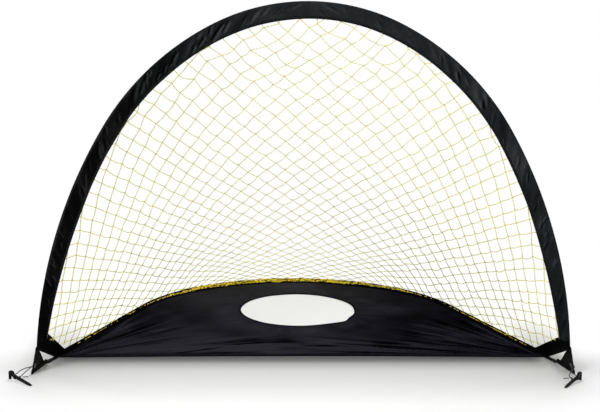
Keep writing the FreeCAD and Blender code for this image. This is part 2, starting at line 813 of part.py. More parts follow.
def corner_tab(frame, label):
    body = new_body(label)
    bend_height = front_line(wire_inset)[0][-1][1] - size("knee_drop") * sine(size("leg_angle"))
    top, shoulder = bend_height * size("tab_height_share"), bend_height * size("tab_shoulder_share")
    foot_gap = size("tab_hem_wall") + gap
    end = size("tab_shoulder") * 2.7
    hem = size("tab_hem_height")
    ring = [(0, foot_gap), (end, foot_gap), (end, hem), (size("tab_shoulder"), shoulder)]
    ring += [(size("tab_top"), top), (2, top)]
    cloth = pad(body, Outline(body, "XY_Plane", label + "_outline").chain(ring), size("tab_thickness"))
    hole = Outline(body, "XY_Plane", label + "_hole")
    hole.circle((size("eyelet_back"), size("eyelet_up")), size("eyelet_bore") / 2 + size("eyelet_wall") * 1.25)
    cut = body.newObject("PartDesign::Pocket", label + "_eyelet_hole")
    cut.Profile = hole.sketch
    cut.Type = "ThroughAll"
    cut.Midplane = True
    doc.recompute()
    if cut.Shape.Volume >= cloth.Shape.Volume:
        raise ValueError("the eyelet's hole cuts nothing")
    body.Placement = frame.placement()


def tab_hem(frame, label):
    """A folded strip along the foot of the tab, open upwards."""
    body = new_body(label)
    inside = size("tab_thickness") / 2 + gap
    outside = inside + size("tab_hem_wall")
    floor, top = size("tab_hem_wall"), size("tab_hem_height")
    ring = [(-outside, 0), (outside, 0), (outside, top), (inside, top), (inside, floor), (-inside, floor)]
    ring += [(-inside, top), (-outside, top)]
    sketch = Outline(body, "YZ_Plane", label + "_section").chain(ring)
    strip = body.newObject("PartDesign::Pad", label + "_strip")
    strip.Profile = sketch
    strip.Length = frame.base - 0.8
    sketch.Visibility = False
    sideways = FreeCAD.Placement(Vector(0, 0, 0), FreeCAD.Rotation(Vector(1, 0, 0), -90))
    body.Placement = frame.placement().multiply(sideways)


def tab_eyelet(frame, label):
    """A rolled metal eyelet, its flanges on both faces of the tab."""
    body = new_body(label)
    bore, flange = size("eyelet_bore") / 2, size("eyelet_flange") / 2
    wall = size("eyelet_wall")
    face = size("tab_thickness") / 2 + 0.1
    back = face + wall
    ring = [(bore, -back), (flange, -back), (flange, -face), (bore + wall, -face), (bore + wall, face)]
    ring += [(flange, face), (flange, back), (bore, back)]
    sketch = Outline(body, "XZ_Plane", label + "_section").chain(ring)
    turned = body.newObject("PartDesign::Revolution", label + "_ring")
    turned.Profile = sketch
    turned.ReferenceAxis = (next(f for f in body.Origin.OriginFeatures if f.Role == "Z_Axis"), [""])
    turned.Angle = 360
    body.Placement = frame.placement(float(size("eyelet_back")), float(size("eyelet_up")))


def ground_strap(frame, label):
    """Webbing on the ground from the tab's hem to the foot of the rear side."""
    strap = doc.addObject("Part::Box", label)
    strap.Label = label
    strap.setExpression("Width", size("strap_width").text)
    strap.setExpression("Height", size("strap_thickness").text)
    strap.setExpression("Length", (size("strap_length") - gap * 2).text)
    way = frame.turned(side_way)
    start = frame.strap_start + way * float(gap)
    across = Vector(-way.y, way.x, 0) * (float(size("strap_width")) / 2)
    heading = math.degrees(math.atan2(way.y, way.x))
    strap.Placement = FreeCAD.Placement(start - across, FreeCAD.Rotation(Vector(0, 0, 1), heading))
    parts.append(strap)


# Stakes and elastic loops


class StakeFrame:
    """Where a stake lies: its neck, the way to its point and the way to the tab."""

    def __init__(self, tab, splay, heading):
        eyelet = tab.point(float(size("eyelet_back")), float(size("eyelet_up")))
        out, turn = math.radians(splay), math.radians(heading)
        reach = float(size("loop_reach"))
        self.way = Vector(-tab.sign * math.sin(turn), -math.cos(turn), 0)
        self.neck = eyelet + Vector(tab.sign * math.sin(out), -math.cos(out), 0) * reach
        self.neck.z = 0
        square = Vector(-self.way.y, self.way.x, 0)
        to_tab = eyelet - self.neck
        self.beside = square if square.dot(to_tab) > 0 else -square

    def point(self, along, beside, up):
        return self.neck + self.way * along + self.beside * beside + Vector(0, 0, up)

    def placement(self):
        heading = math.degrees(math.atan2(self.way.y, self.way.x))
        return FreeCAD.Placement(self.neck, FreeCAD.Rotation(Vector(0, 0, 1), heading))


def stake(frame, label):
    """A moulded ground stake on its side: a flat hooked head and web, and a round tapered shank."""
    body = new_body(label)
    neck, nose = size("neck_height"), size("nose_height")
    length, depth, top = size("shank_length"), size("head_depth"), size("head_top")
    corner, hook = size("head_round"), size("hook_width")
    radius, tip = size("shank_radius"), size("point_radius")
    nose_start = length - size("nose_length")
    throat = neck - radius
    ring = [(-depth, 0), (hook - depth, 0), (hook - depth, throat), (-depth / 3, throat + 2)]
    ring += [(0, throat), (nose_start, 0), (length - 6, 0), (length, nose / 2), (nose_start, nose + tip)]
    ring += [(0, neck + radius), (-depth / 9, top - corner), (-depth / 9 - corner, top)]
    ring += [(corner - depth, top), (-depth, top - corner)]
    arcs = {10: ((-depth / 9 - corner, top - corner), corner, True)}
    arcs[12] = ((corner - depth, top - corner), corner, True)
    pad(body, Outline(body, "XZ_Plane", label + "_side").chain(ring, arcs), size("stake_web"))
    shank = body.newObject("PartDesign::AdditiveCone", label + "_shank")
    fall = neck - nose
    for name, number in (("Radius1", radius), ("Radius2", tip), ("Height", nose_start)):
        setattr(shank, name, float(number))
        shank.setExpression(name, number.text)
    lean = math.degrees(math.atan2(float(fall), float(nose_start)))
    shank.Placement = FreeCAD.Placement(
        Vector(0, 0, float(neck)), FreeCAD.Rotation(Vector(0, 1, 0), 90 + lean)
    )
    body.Placement = frame.placement()


def loop_points(tab, pin):
    """The cord's route, chosen by hand: out of the eyelet, forward past the tab's edge, round the neck and
    back to the eyelet's other side. Tab points are (back, up, out); stake points are (along, beside, up)."""
    up = float(size("eyelet_up"))
    thin = float(size("cord_diameter")) / 2
    rest = float(size("eyelet_back")) - float(size("eyelet_bore")) / 2 + thin + 0.1
    face = float(size("tab_thickness")) / 2 + 0.1 + float(size("eyelet_wall")) + thin + 0.3
    ring = float(size("shank_radius")) + thin + 0.9
    middle = float(size("neck_height")) - 0.5
    leave = [(rest, up, 0.1), (rest, up, face), (rest - 6, up + 1, face + 0.4), (rest - 15, up + 3.4, face + 0.9)]
    enter = [(rest - 14, up - 2.6, -face - 0.9), (rest - 6, up - 0.8, -face - 0.4)]
    enter += [(rest, up, -face), (rest, up, -0.1)]
    arrive = [(0.5, ring + 17, middle + 14), (3.0, ring + 0.5, middle + ring)]
    around = [(4.0, -ring, middle + ring), (5.4, -ring, middle - ring - 0.3), (7.0, ring, middle - ring - 0.7)]
    depart = [(8.0, ring + 9, middle - ring + 2), (7.0, ring + 22, middle)]
    out = [tab.point(a, b, c) for a, b, c in leave]
    home = [tab.point(a, b, c) for a, b, c in enter]
    turn = [pin.point(a, b, c) for a, b, c in arrive + around + depart]
    top_middle = toward(out[-1], turn[0], 0.5) + Vector(0, 0, 3)
    low_middle = toward(turn[-1], home[0], 0.5) + Vector(0, 0, 1.5)
    return out + [top_middle] + turn + [low_middle] + home, turn[-2]


def cord_tube(label, points):
    diameter = float(size("cord_diameter"))
    radii = []
    for before, corner, after in zip(points, points[1:], points[2:]):
        run = 0.45 * min((corner - before).Length, (after - corner).Length)
        radii.append(bend_radius(before, corner, after, run))
    path = rounded(points, radii)
    print(label, "length", round(path.Length, 1), "radii", [round(r, 1) for r in radii])
    shape_piece(label, tube(path, diameter / 2))
    return path


def cord_knot(label, path, centre, way):
    """An overhand knot drawn tight on the lower strand, with the cord's short end beside it."""
    radius = float(size("knot_diameter")) / 2
    thin = float(size("cord_diameter")) / 2
    start = centre + way * (radius * 0.75)
    runs = [start, start + way * 9, start + way * 17 + Vector(0, 0, -2), start + way * 25 + Vector(0, 0, -3)]
    tail = tube(rounded(runs, [30.0, 30.0]), thin)
    knot = Part.makeSphere(radius, centre).fuse(tail).cut(tube(path, thin + 0.05))
    return shape_piece(label, max(knot.removeSplitter().Solids, key=lambda solid: solid.Volume))


def ground_corner(name, sign, splay, heading):
    tab = TabFrame(sign)
    corner_tab(tab, "corner_tab_" + name)
    tab_hem(tab, "tab_hem_" + name)
    tab_eyelet(tab, "tab_eyelet_" + name)
    ground_strap(tab, "ground_strap_" + name)
    pin = StakeFrame(tab, splay, heading)
    stake(pin, "stake_" + name)
    points, knot = loop_points(tab, pin)
    print(name, "loop points", [[round(c / 1000, 4) for c in p] for p in points])
    path = cord_tube("elastic_loop_" + name, points)
    cord_knot("cord_knot_" + name, path, knot, Vector(-sign * 0.94, 0.34, 0).normalize())


ground_corner("right", 1, size("right_splay"), size("right_heading"))
ground_corner("left", -1, size("left_splay"), size("left_heading"))


doc.recompute()
for item in doc.Objects:
    if "Invalid" in item.State or "Error" in item.State:
        raise ValueError(f"{item.Name} is {item.State}")
os.makedirs("parts", exist_ok=True)
for piece in parts:
    shape = piece.Shape
    if shape.isNull() or not shape.isValid() or not shape.Solids:
        raise ValueError(f"{piece.Label} has no sound solid")
    shape.exportStep(os.path.join("parts", piece.Label + ".step"))
    print(piece.Label, len(shape.Solids), "solid", round(shape.Volume), "mm3", len(shape.Faces), "faces")
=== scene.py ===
"""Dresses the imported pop-up practice goal: sleeves, bindings, net, panel, corner tabs and loops."""

import math

import bmesh
import bpy
import numpy as np
from mathutils import Euler, Matrix, Vector


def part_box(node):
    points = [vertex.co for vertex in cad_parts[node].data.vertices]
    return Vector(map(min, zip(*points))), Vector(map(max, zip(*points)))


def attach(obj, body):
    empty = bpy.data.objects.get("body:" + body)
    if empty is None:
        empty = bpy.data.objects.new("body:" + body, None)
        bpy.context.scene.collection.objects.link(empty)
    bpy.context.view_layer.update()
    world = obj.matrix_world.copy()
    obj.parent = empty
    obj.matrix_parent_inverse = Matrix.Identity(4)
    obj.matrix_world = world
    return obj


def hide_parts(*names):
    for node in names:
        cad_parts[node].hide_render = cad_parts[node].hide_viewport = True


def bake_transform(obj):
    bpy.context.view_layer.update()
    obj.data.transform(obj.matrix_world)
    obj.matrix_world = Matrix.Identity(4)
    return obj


bl_info = {
    "name": "Pop-up practice goal",
    "version": (1, 0, 0),
    "blender": (4, 5, 0),
    "location": "View3D > Sidebar > Goal",
    "description": "Fabric, net and fittings of a pop-up practice goal with a target panel",
    "category": "Object",
}

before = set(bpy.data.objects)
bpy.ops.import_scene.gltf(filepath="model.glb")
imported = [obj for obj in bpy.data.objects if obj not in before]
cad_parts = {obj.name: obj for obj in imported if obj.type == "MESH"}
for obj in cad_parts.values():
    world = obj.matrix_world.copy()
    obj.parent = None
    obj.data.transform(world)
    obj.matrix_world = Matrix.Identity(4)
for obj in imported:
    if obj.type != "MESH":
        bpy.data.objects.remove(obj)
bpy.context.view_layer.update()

PHOTO_WIDTH = 600.0
FOCAL_PIXELS = 1154.1
FULL_TURN = 2 * math.pi
WHITE, BLACK = (1.0, 1.0, 1.0), (0.0, 0.0, 0.0)


def colour_of(red, green, blue):
    """A display colour, 0 to 255 each, as scene linear values by the sRGB curve."""
    return tuple(c / 12.92 if c <= 0.04045 else ((c + 0.055) / 1.055) ** 2.4
                 for c in (red / 255, green / 255, blue / 255))


def length(name, description, default):
    return bpy.props.FloatProperty(name=name, description=description, default=default,
                                   unit="LENGTH", precision=4)


def angle(name, description, degrees):
    return bpy.props.FloatProperty(name=name, description=description,
                                   default=math.radians(degrees), subtype="ANGLE")


def colour(name, description, red, green, blue):
    return bpy.props.FloatVectorProperty(name=name, description=description, size=3, min=0, max=1,
                                         default=colour_of(red, green, blue), subtype="COLOR")


class GoalSizes(bpy.types.PropertyGroup):
    arch_height: length("Arch height", "Ground to the crown of the front arch", 1.243)
    crown_radius: length("Crown radius", "Arc over the crown", 0.679)
    crown_angle: angle("Crown angle", "From the crown to the end of that arc", 27.6)
    haunch_radius: length("Haunch radius", "Arc beside the crown", 0.889)
    haunch_angle: angle("Haunch angle", "From the crown to the end of the haunch arc", 58.9)
    leg_radius: length("Leg radius", "Arc of the leg", 1.662)
    leg_angle: angle("Leg angle", "From the crown to the end of the leg", 85.4)
    mouth_forward: length("Mouth forward", "Arch plane ahead of the panel's hem line", 0.193)
    rear_reach: length("Rear reach", "Hem line to the rear crown", 1.063)
    rear_radius: length("Rear radius", "Arc of the rear crown", 0.678)
    rear_angle: angle("Rear angle", "From the rear crown to the straight side", 68.9)
    side_length: length("Side length", "Straight side of the rear arch", 0.652)
    wire_inset: length("Wire inset", "Sleeve's outer edge to the wire's middle", 0.0046)
    sleeve_width: length("Sleeve width", "Outer edge to stitched edge", 0.055)
    sleeve_edge: length("Sleeve edge", "Two layers at the stitched edge", 0.0024)
    binding_width: length("Binding width", "Tape folded over the stitched edge", 0.008)
    leg_twist: angle("Leg twist", "Turn of the sleeve about its wire at the leg's end", 68)
    twist_reach: length("Twist reach", "Length of leg over which the sleeve turns", 0.6)
    knee_drop: length("Knee drop", "Leg end to the point of the upper bend", 0.024)
    foot_run: length("Foot run", "Foot of the rear side to the lower bend", 0.024)
    flap_right: length("Right flap", "Rear foot to the end of the right corner's flap", 0.055)
    flap_left: length("Left flap", "Rear foot to the end of the left corner's flap", 0.04)
    hem_width: length("Hem width", "Front hem of the panel", 0.024)
    hole_diameter: length("Hole diameter", "Target hole in its binding", 0.458)
    hole_back: length("Hole back", "Hem line to the middle of the hole", 0.59)
    mesh_bar: length("Mesh bar", "Usual length of the net's cord from knot to knot", 0.046)
    net_cord: length("Net cord", "Across the net's cord", 0.0027)
    loop_cord: length("Loop cord", "Across the elastic cord", 0.003)


class GoalColours(bpy.types.PropertyGroup):
    # Painted sheen: sleeve is the black cloth with its sheen painted in, over the crown and the right
    # side; sleeve_deep is the plain black cloth, where no sheen is painted.
    sleeve: colour("Sleeve", "Black sleeve fabric where it has faded", 37, 39, 41)
    sleeve_deep: colour("Deep sleeve", "Black sleeve fabric as new", 7, 7, 7)
    binding: colour("Binding", "Tape on the sleeve's edge", 24, 26, 26)
    panel: colour("Panel", "Charcoal panel fabric", 31, 30, 36)
    # Painted shade: panel_deep darkens the panel's right side and the folds toward its corners.
    panel_deep: colour("Deep panel", "Panel fabric in the folds at its corners", 11, 11, 16)
    # Painted sheen: panel_back_sheen lightens the panel's middle near its back.
    panel_back_sheen: colour("Pale panel", "Panel fabric near its back", 42, 42, 42)
    hem: colour("Hem", "Webbing of the panel's front hem", 22, 21, 26)
    net: colour("Net", "Yellow net cord", 234, 229, 124)
    gather: colour("Gather", "Gathered edge of the net", 236, 206, 40)
    webbing: colour("Webbing", "Straps and tab hems", 20, 21, 21)
    cord: colour("Cord", "Elastic loops", 26, 27, 27)
    plastic: colour("Plastic", "Moulded stakes", 5, 5, 5)
    steel: colour("Steel", "Sprung wire and eyelets", 132, 134, 138)


def sizes():
    return bpy.context.scene.goal_sizes


def colours():
    return bpy.context.scene.goal_colours


# Patterns without repeats

NOISE_CELLS = 256


def smoothed(share):
    """Eases 0 to 1 at both ends."""
    return share * share * (3 - 2 * share)


def eased(share):
    """The same for one number, which stays at 0 or 1 beyond them."""
    return smoothed(min(max(share, 0.0), 1.0))


def value_noise(x, y, seed):
    """Smooth noise from -1 to 1 over two lengths counted in cells."""
    table = np.random.default_rng(seed).uniform(-1, 1, (NOISE_CELLS, NOISE_CELLS))
    x, y = np.asarray(x, float), np.asarray(y, float)
    low_x, low_y = np.floor(x).astype(int), np.floor(y).astype(int)
    fx, fy = smoothed(x - low_x), smoothed(y - low_y)

    def corner(right, up):
        return table[(low_x + right) % NOISE_CELLS, (low_y + up) % NOISE_CELLS]

    low = corner(0, 0) * (1 - fx) + corner(1, 0) * fx
    high = corner(0, 1) * (1 - fx) + corner(1, 1) * fx
    return low * (1 - fy) + high * fy


def ridges(x, y, seed):
    """Sharp-crested folds from 0 to 1."""
    return (1 - np.abs(value_noise(x, y, seed))) ** 4


# Meshes from grids of points

TUBE_SIDES = 6
TUBE_CAP = np.array([[0, 1, 2, 3], [0, 3, 4, 5]])
TUBE_HINT = np.array([0.13, 0.21, 0.97])
TINY = 1e-12


def run_along(points):
    """How far along a chain of points each of them lies."""
    return np.concatenate([[0], np.cumsum(np.linalg.norm(np.diff(points, axis=0), axis=1))])


def evenly(points, count):
    """A chain cut into even parts."""
    run = run_along(points)
    where = np.linspace(0, run[-1], count + 1)
    return np.stack([np.interp(where, run, line) for line in points.T], axis=1)


def closed_evenly(ring, count):
    """A closed ring cut into even parts, from its first point on."""
    return evenly(np.concatenate([ring, ring[:1]]), count)[:-1]


def linked(name, data):
    """A new object in the scene."""
    made = bpy.data.objects.new(name, data)
    bpy.context.collection.objects.link(made)
    return made


def piece_from(name, points, faces, uv):
    """A new smooth object from its points, an array of quads, and a UV for each point."""
    mesh = bpy.data.meshes.new(name)
    faces = np.asarray(faces, np.int32)
    sides = faces.shape[1]
    mesh.vertices.add(len(points))
    mesh.vertices.foreach_set("co", np.asarray(points, np.float32).ravel())
    mesh.loops.add(faces.size)
    mesh.loops.foreach_set("vertex_index", faces.ravel())
    mesh.polygons.add(len(faces))
    mesh.polygons.foreach_set("loop_start", np.arange(len(faces), dtype=np.int32) * sides)
    mesh.polygons.foreach_set("loop_total", np.full(len(faces), sides, np.int32))
    mesh.polygons.foreach_set("use_smooth", np.full(len(faces), True))
    layer = mesh.uv_layers.new(name="UVMap")
    layer.data.foreach_set("uv", np.asarray(uv, np.float32)[faces.ravel()].ravel())
    mesh.update()
    mesh.validate()
    return linked(name, mesh)


def marked(made, name, values):
    """Keeps a number for each vertex, for a material to read."""
    layer = made.data.attributes.new(name, "FLOAT", "POINT")
    layer.data.foreach_set("value", np.asarray(values, np.float32).ravel())


def grid_faces(rows, columns):
    """Quads of a grid of rows by columns, whose last column joins the first."""
    i = np.arange(rows - 1)[:, None]
    j = np.arange(columns)[None, :]
    after = (j + 1) % columns
    quads = np.stack([i * columns + j, i * columns + after, (i + 1) * columns + after,
                      (i + 1) * columns + j], axis=-1)
    return quads.reshape(-1, 4)


def tidy_shell(made):
    """Closes holes and turns the faces outwards."""
    work = bmesh.new()
    work.from_mesh(made.data)
    rims = [edge for edge in work.edges if edge.is_boundary]
    if rims:
        bmesh.ops.holes_fill(work, edges=rims, sides=0)
    bmesh.ops.recalc_face_normals(work, faces=work.faces)
    work.to_mesh(made.data)
    work.free()
    made.data.update()
    return made


def swept_piece(name, rows, section, along):
    """A closed skin over rows of points, one row for each place along. Its UV is the distance
    along it and the distance round its flat section."""
    count, across = rows.shape[:2]
    uv = np.stack([np.repeat(along, across), np.tile(run_along(section), count)], axis=1)
    return tidy_shell(piece_from(name, rows.reshape(-1, 3), grid_faces(count, across), uv))


def tubes(name, lines, radii):
    """Closed tubes along many lines of the same count of points, of one radius or one a point."""
    count, steps = lines.shape[:2]
    radii = np.broadcast_to(radii, (count, steps))
    ways = np.gradient(lines, axis=1)
    ways /= np.linalg.norm(ways, axis=2, keepdims=True) + TINY
    first = np.cross(ways, np.broadcast_to(TUBE_HINT, ways.shape))
    first /= np.linalg.norm(first, axis=2, keepdims=True) + TINY
    second = np.cross(ways, first)
    turn = np.arange(TUBE_SIDES) * FULL_TURN / TUBE_SIDES
    ring = (first[:, :, None] * np.cos(turn)[None, None, :, None]
            + second[:, :, None] * np.sin(turn)[None, None, :, None])
    points = lines[:, :, None] + ring * radii[:, :, None, None]
    last_cap = TUBE_CAP[:, ::-1] + (steps - 1) * TUBE_SIDES
    one = np.concatenate([grid_faces(steps, TUBE_SIDES)[:, ::-1], TUBE_CAP, last_cap])
    starts = np.arange(count) * steps * TUBE_SIDES
    faces = (one[None] + starts[:, None, None]).reshape(-1, 4)
    far = np.array([run_along(line) for line in lines])
    round_about = np.arange(TUBE_SIDES) / TUBE_SIDES
    uv = np.stack(np.broadcast_arrays(far[:, :, None], round_about[None, None]), axis=-1)
    return piece_from(name, points.reshape(-1, 3), faces, uv.reshape(-1, 2))


def select_nothing():
    bpy.ops.object.select_all(action="DESELECT")


def shaped(transform, value):
    """Moves or stretches all of the newest object in edit mode, and applies its place."""
    bpy.ops.object.mode_set(mode="EDIT")
    bpy.ops.mesh.select_all(action="SELECT")
    transform(value=value)
    bpy.ops.object.mode_set(mode="OBJECT")
    bpy.ops.object.transform_apply(location=True, rotation=True, scale=True)


def join(name, pieces):
    """One object from several."""
    select_nothing()
    for piece in pieces:
        piece.select_set(True)
    bpy.context.view_layer.objects.active = pieces[0]
    bpy.ops.object.join()
    pieces[0].name = name
    pieces[0].data.name = name
    return pieces[0]


# Lines of the two arches


class Line:
    """Stations along an arch, from the left end to the right: the wire's line, the way across the
    sleeve from it, the way off the sleeve's face, and the distance from the crown."""

    def __init__(self, outer, inward, along, face, twist=0.0):
        self.wire, self.along = outer + inward * sizes().wire_inset, along
        turned, square = np.sin(twist), np.cos(twist)
        self.across = inward * square - face * turned
        self.face = face * square + inward * turned

    def at(self, inset, off=0.0):
        """The line at one inset from the sleeve's outer edge, and off its face."""
        return self.wire + self.across * (inset - sizes().wire_inset) + self.face * off

    def section(self, inset, off):
        """Rows of points: inset and off are one section, or one for each station."""
        inset = np.broadcast_to(inset, np.broadcast_shapes(np.shape(inset), (len(self.along), 1)))
        off = np.broadcast_to(off, inset.shape)
        return (self.wire[:, None] + self.across[:, None] * (inset[..., None] - sizes().wire_inset)
                + self.face[:, None] * off[..., None])


def half_arc(centre, radius, begin, end, step):
    """Points of an arc and the way from each to its centre, by angles from straight on."""
    count = max(2, int(math.ceil(radius * (end - begin) / step)))
    turns = begin + (end - begin) * np.arange(count + 1) / count
    outward = np.stack([np.sin(turns), np.cos(turns)], axis=1)
    return np.array(centre) + outward * radius, -outward


def both_halves(runs):
    """Joins the flat runs of the right half and mirrors them."""
    points, inward = (np.concatenate([runs[0][k]] + [run[k][1:] for run in runs[1:]])
                      for k in (0, 1))
    along = run_along(points)
    flip = np.array([-1, 1])
    return (np.concatenate([points[:0:-1] * flip, points]),
            np.concatenate([inward[:0:-1] * flip, inward]),
            np.concatenate([-along[:0:-1], along]))


def front_centres(s):
    """Centre and radius of each arc of the front arch, with the angle at which it ends."""
    side, low = 0.0, s.arch_height - s.crown_radius
    found = [((side, low), s.crown_radius, s.crown_angle)]
    for before, radius, start, end in (
            (s.crown_radius, s.haunch_radius, s.crown_angle, s.haunch_angle),
            (s.haunch_radius, s.leg_radius, s.haunch_angle, s.leg_angle)):
        side += (before - radius) * math.sin(start)
        low += (before - radius) * math.cos(start)
        found.append(((side, low), radius, end))
    return found


def front_line(step=0.0042):
    """The front arch, whose sleeve turns about its wire toward the ground."""
    s = sizes()
    late = 1.17
    runs, begin = [], 0.0
    for centre, radius, end in front_centres(s):
        runs.append(half_arc(centre, radius, begin, end, step))
        begin = end
    points, inward, along = both_halves(runs)
    outer = np.stack([points[:, 0], np.full(len(points), -s.mouth_forward), points[:, 1]], axis=1)
    inward = np.stack([inward[:, 0], np.zeros(len(points)), inward[:, 1]], axis=1)
    rest = along[-1] - np.abs(along)
    twist = s.leg_twist * np.clip(1 - rest / s.twist_reach, 0, 1) ** late
    return Line(outer, inward, along, np.array([[0.0, -1.0, 0.0]]), twist[:, None])


def rear_line(step):
    """The rear arch on the ground: an arc and two straight sides."""
    s = sizes()
    arc = half_arc((0, s.rear_reach - s.rear_radius), s.rear_radius, 0, s.rear_angle, step)
    way = np.array([math.cos(s.rear_angle), -math.sin(s.rear_angle)])
    count = int(s.side_length / step)
    far = np.arange(count + 1)[:, None] * s.side_length / count
    side = arc[0][-1] + far * way, np.repeat(arc[1][-1:], count + 1, 0)
    points, inward, along = both_halves([arc, side])
    flat = np.zeros((len(points), 1))
    return Line(np.hstack([points, flat]), np.hstack([inward, flat]), along,
                np.array([[0.0, 0.0, 1.0]]))


def rear_width(along):
    """The rear sleeve narrows towards the corners, where it stands steeper."""
    begins, over, lost = 0.35, 0.45, 0.45
    narrowing = np.clip((np.abs(along) - begins) / over, 0, 1)
    return sizes().sleeve_width * (1 - lost * narrowing)


class Corner:
    """Points of the right corner, where the leg bends back and down to the rear side."""

    SEAM_LIFT = 0.003

    def __init__(self):
        s = sizes()
        inset = s.wire_inset
        centre, radius, end = front_centres(s)[2]
        self.leg_end = Vector((centre[0] + (radius - inset) * math.sin(end), -s.mouth_forward,
                               centre[1] + (radius - inset) * math.cos(end)))
        self.leg_way = Vector((math.cos(end), 0, -math.sin(end)))
        turn = s.rear_angle
        self.foot = self.rear_foot(inset) + Vector((0, 0, inset))
        self.side_way = Vector((-math.cos(turn), math.sin(turn), 0))
        self.knee = self.leg_end + self.leg_way * s.knee_drop
        self.ankle = self.foot - self.side_way * s.foot_run
        self.band_way = (self.ankle - self.knee).normalized()

    def inner_leg_end(self):
        """Stitched edge of the sleeve at the leg's end."""
        return Vector(front_line().at(sizes().sleeve_width)[-1])

    def low(self, sign):
        """Where the corner band's inner edge comes down on the rear side."""
        flap = sizes().flap_right if sign > 0 else sizes().flap_left
        return self.foot + self.side_way * flap + Vector((0, 0, self.SEAM_LIFT))

    def rear_foot(self, inset):
        """The rear side's end on the ground, at an inset from its outer edge."""
        s = sizes()
        turn, line = s.rear_angle, s.rear_radius - inset
        middle = s.rear_reach - s.rear_radius
        return Vector((line * math.sin(turn) + s.side_length * math.cos(turn),
                       middle + line * math.cos(turn) - s.side_length * math.sin(turn), 0))


# Shader expressions


class Shade:
    """A socket that takes part in Python expressions; each step adds a Math node."""

    def __init__(self, nodes, socket):
        self.nodes, self.socket = nodes, socket

    def math(self, operation, *others):
        sockets = dict(enumerate((self,) + others))
        node = self.nodes.node("ShaderNodeMath", {"operation": operation}, sockets)
        return Shade(self.nodes, node.outputs[0])

    def __add__(self, other):
        return self.math("ADD", other)

    __radd__ = __add__

    def __mul__(self, other):
        return self.math("MULTIPLY", other)

    __rmul__ = __mul__

    def __sub__(self, other):
        return self.math("SUBTRACT", other)

    def __rsub__(self, other):
        return (self * -1) + other

    def __truediv__(self, other):
        return self.math("DIVIDE", other)

    def __lt__(self, other):
        return self.math("LESS_THAN", other)

    def sine(self):
        return self.math("SINE")

    def absolute(self):
        return self.math("ABSOLUTE")

    def fraction(self):
        return self.math("FRACT")

    def power(self, other):
        return self.math("POWER", other)

    def held(self, low, high):
        """Spreads low to high over 0 to 1 and stops there."""
        sockets = {0: self, 1: low, 2: high}
        node = self.nodes.node("ShaderNodeMapRange", {"clamp": True}, sockets)
        return Shade(self.nodes, node.outputs[0])


class Nodes:
    """A tree of nodes, and the one way in which a node is added to it."""

    def __init__(self, tree):
        self.tree = tree

    def node(self, kind, settings=None, sockets=None):
        made = self.tree.nodes.new(kind)
        for key, value in (settings or {}).items():
            if key == "stops":
                ramp = made.color_ramp
                while len(ramp.elements) < len(value):
                    ramp.elements.new(0.5)
                for element, (place, shade) in zip(ramp.elements, value):
                    element.position = place
                    element.color = (*shade, 1)
            else:
                setattr(made, key, value)
        for key, value in (sockets or {}).items():
            self.feed(made.inputs[key], value)
        return made

    def feed(self, socket, value):
        if isinstance(value, Shade):
            self.tree.links.new(value.socket, socket)
        elif socket.type == "RGBA":
            socket.default_value = (*value, 1)
        else:
            socket.default_value = value

    def shade(self, kind, settings=None, sockets=None, output=0):
        """The first output of a new node, or the one that is named."""
        return Shade(self, self.node(kind, settings, sockets).outputs[output])

    def rays_that_see_white(self):
        """1 for the camera's own rays and for those of gloss and glass."""
        rays = self.node("ShaderNodeLightPath")
        seen = Shade(self, rays.outputs["Is Camera Ray"])
        for other in ("Is Glossy Ray", "Is Transmission Ray"):
            seen = seen.math("MAXIMUM", Shade(self, rays.outputs[other]))
        return seen


class Look(Nodes):
    """A material with a Principled shader, and the nodes in front of it."""

    def __init__(self, name):
        self.material = bpy.data.materials.new(name)
        self.material.use_nodes = True
        super().__init__(self.material.node_tree)
        self.shader = self.tree.nodes["Principled BSDF"]
        self.where = None

    def coordinates(self, output="Object"):
        if self.where is None:
            self.where = self.node("ShaderNodeTexCoord")
        return Shade(self, self.where.outputs[output])

    def attribute(self, name):
        return self.shade("ShaderNodeAttribute", {"attribute_name": name}, output="Fac")

    def axes(self, output="UV"):
        split = self.node("ShaderNodeSeparateXYZ", None, {0: self.coordinates(output)})
        return tuple(Shade(self, o) for o in split.outputs)

    def noise(self, scale, detail=3.0, roughness=0.5, vector=None):
        return self.shade("ShaderNodeTexNoise", None, {
            "Vector": vector or self.coordinates(), "Scale": scale, "Detail": detail,
            "Roughness": roughness})

    def stretched(self, scale):
        return self.shade("ShaderNodeMapping", None,
                          {"Vector": self.coordinates(), "Scale": scale})

    def mix(self, share, first, second):
        made = self.node("ShaderNodeMix", {"data_type": "RGBA"}, {"Factor": share})
        self.feed(made.inputs[6], first)
        self.feed(made.inputs[7], second)
        return Shade(self, made.outputs[2])

    def shaded(self, tone, shade, span):
        """From dark to light through the plain shade at a tone of a half."""
        dark, light = span
        stops = [(0.0, lighter(shade, dark)), (0.5, shade), (1.0, lighter(shade, light))]
        return self.shade("ShaderNodeValToRGB", {"stops": stops}, {0: tone})

    def bump(self, height, distance, strength=1.0, below=None):
        sockets = {"Height": height, "Distance": distance, "Strength": strength}
        if below is not None:
            sockets["Normal"] = below
        return self.shade("ShaderNodeBump", None, sockets)

    def finish(self, **sockets):
        for key, value in sockets.items():
            self.feed(self.shader.inputs[key.replace("_", " ")], value)
        return self.material


def lighter(shade, factor):
    return tuple(min(1.0, c * factor) for c in shade)


def waves(length_way, pitch):
    """Even waves, one in each pitch."""
    return (length_way * (FULL_TURN / pitch)).sine()


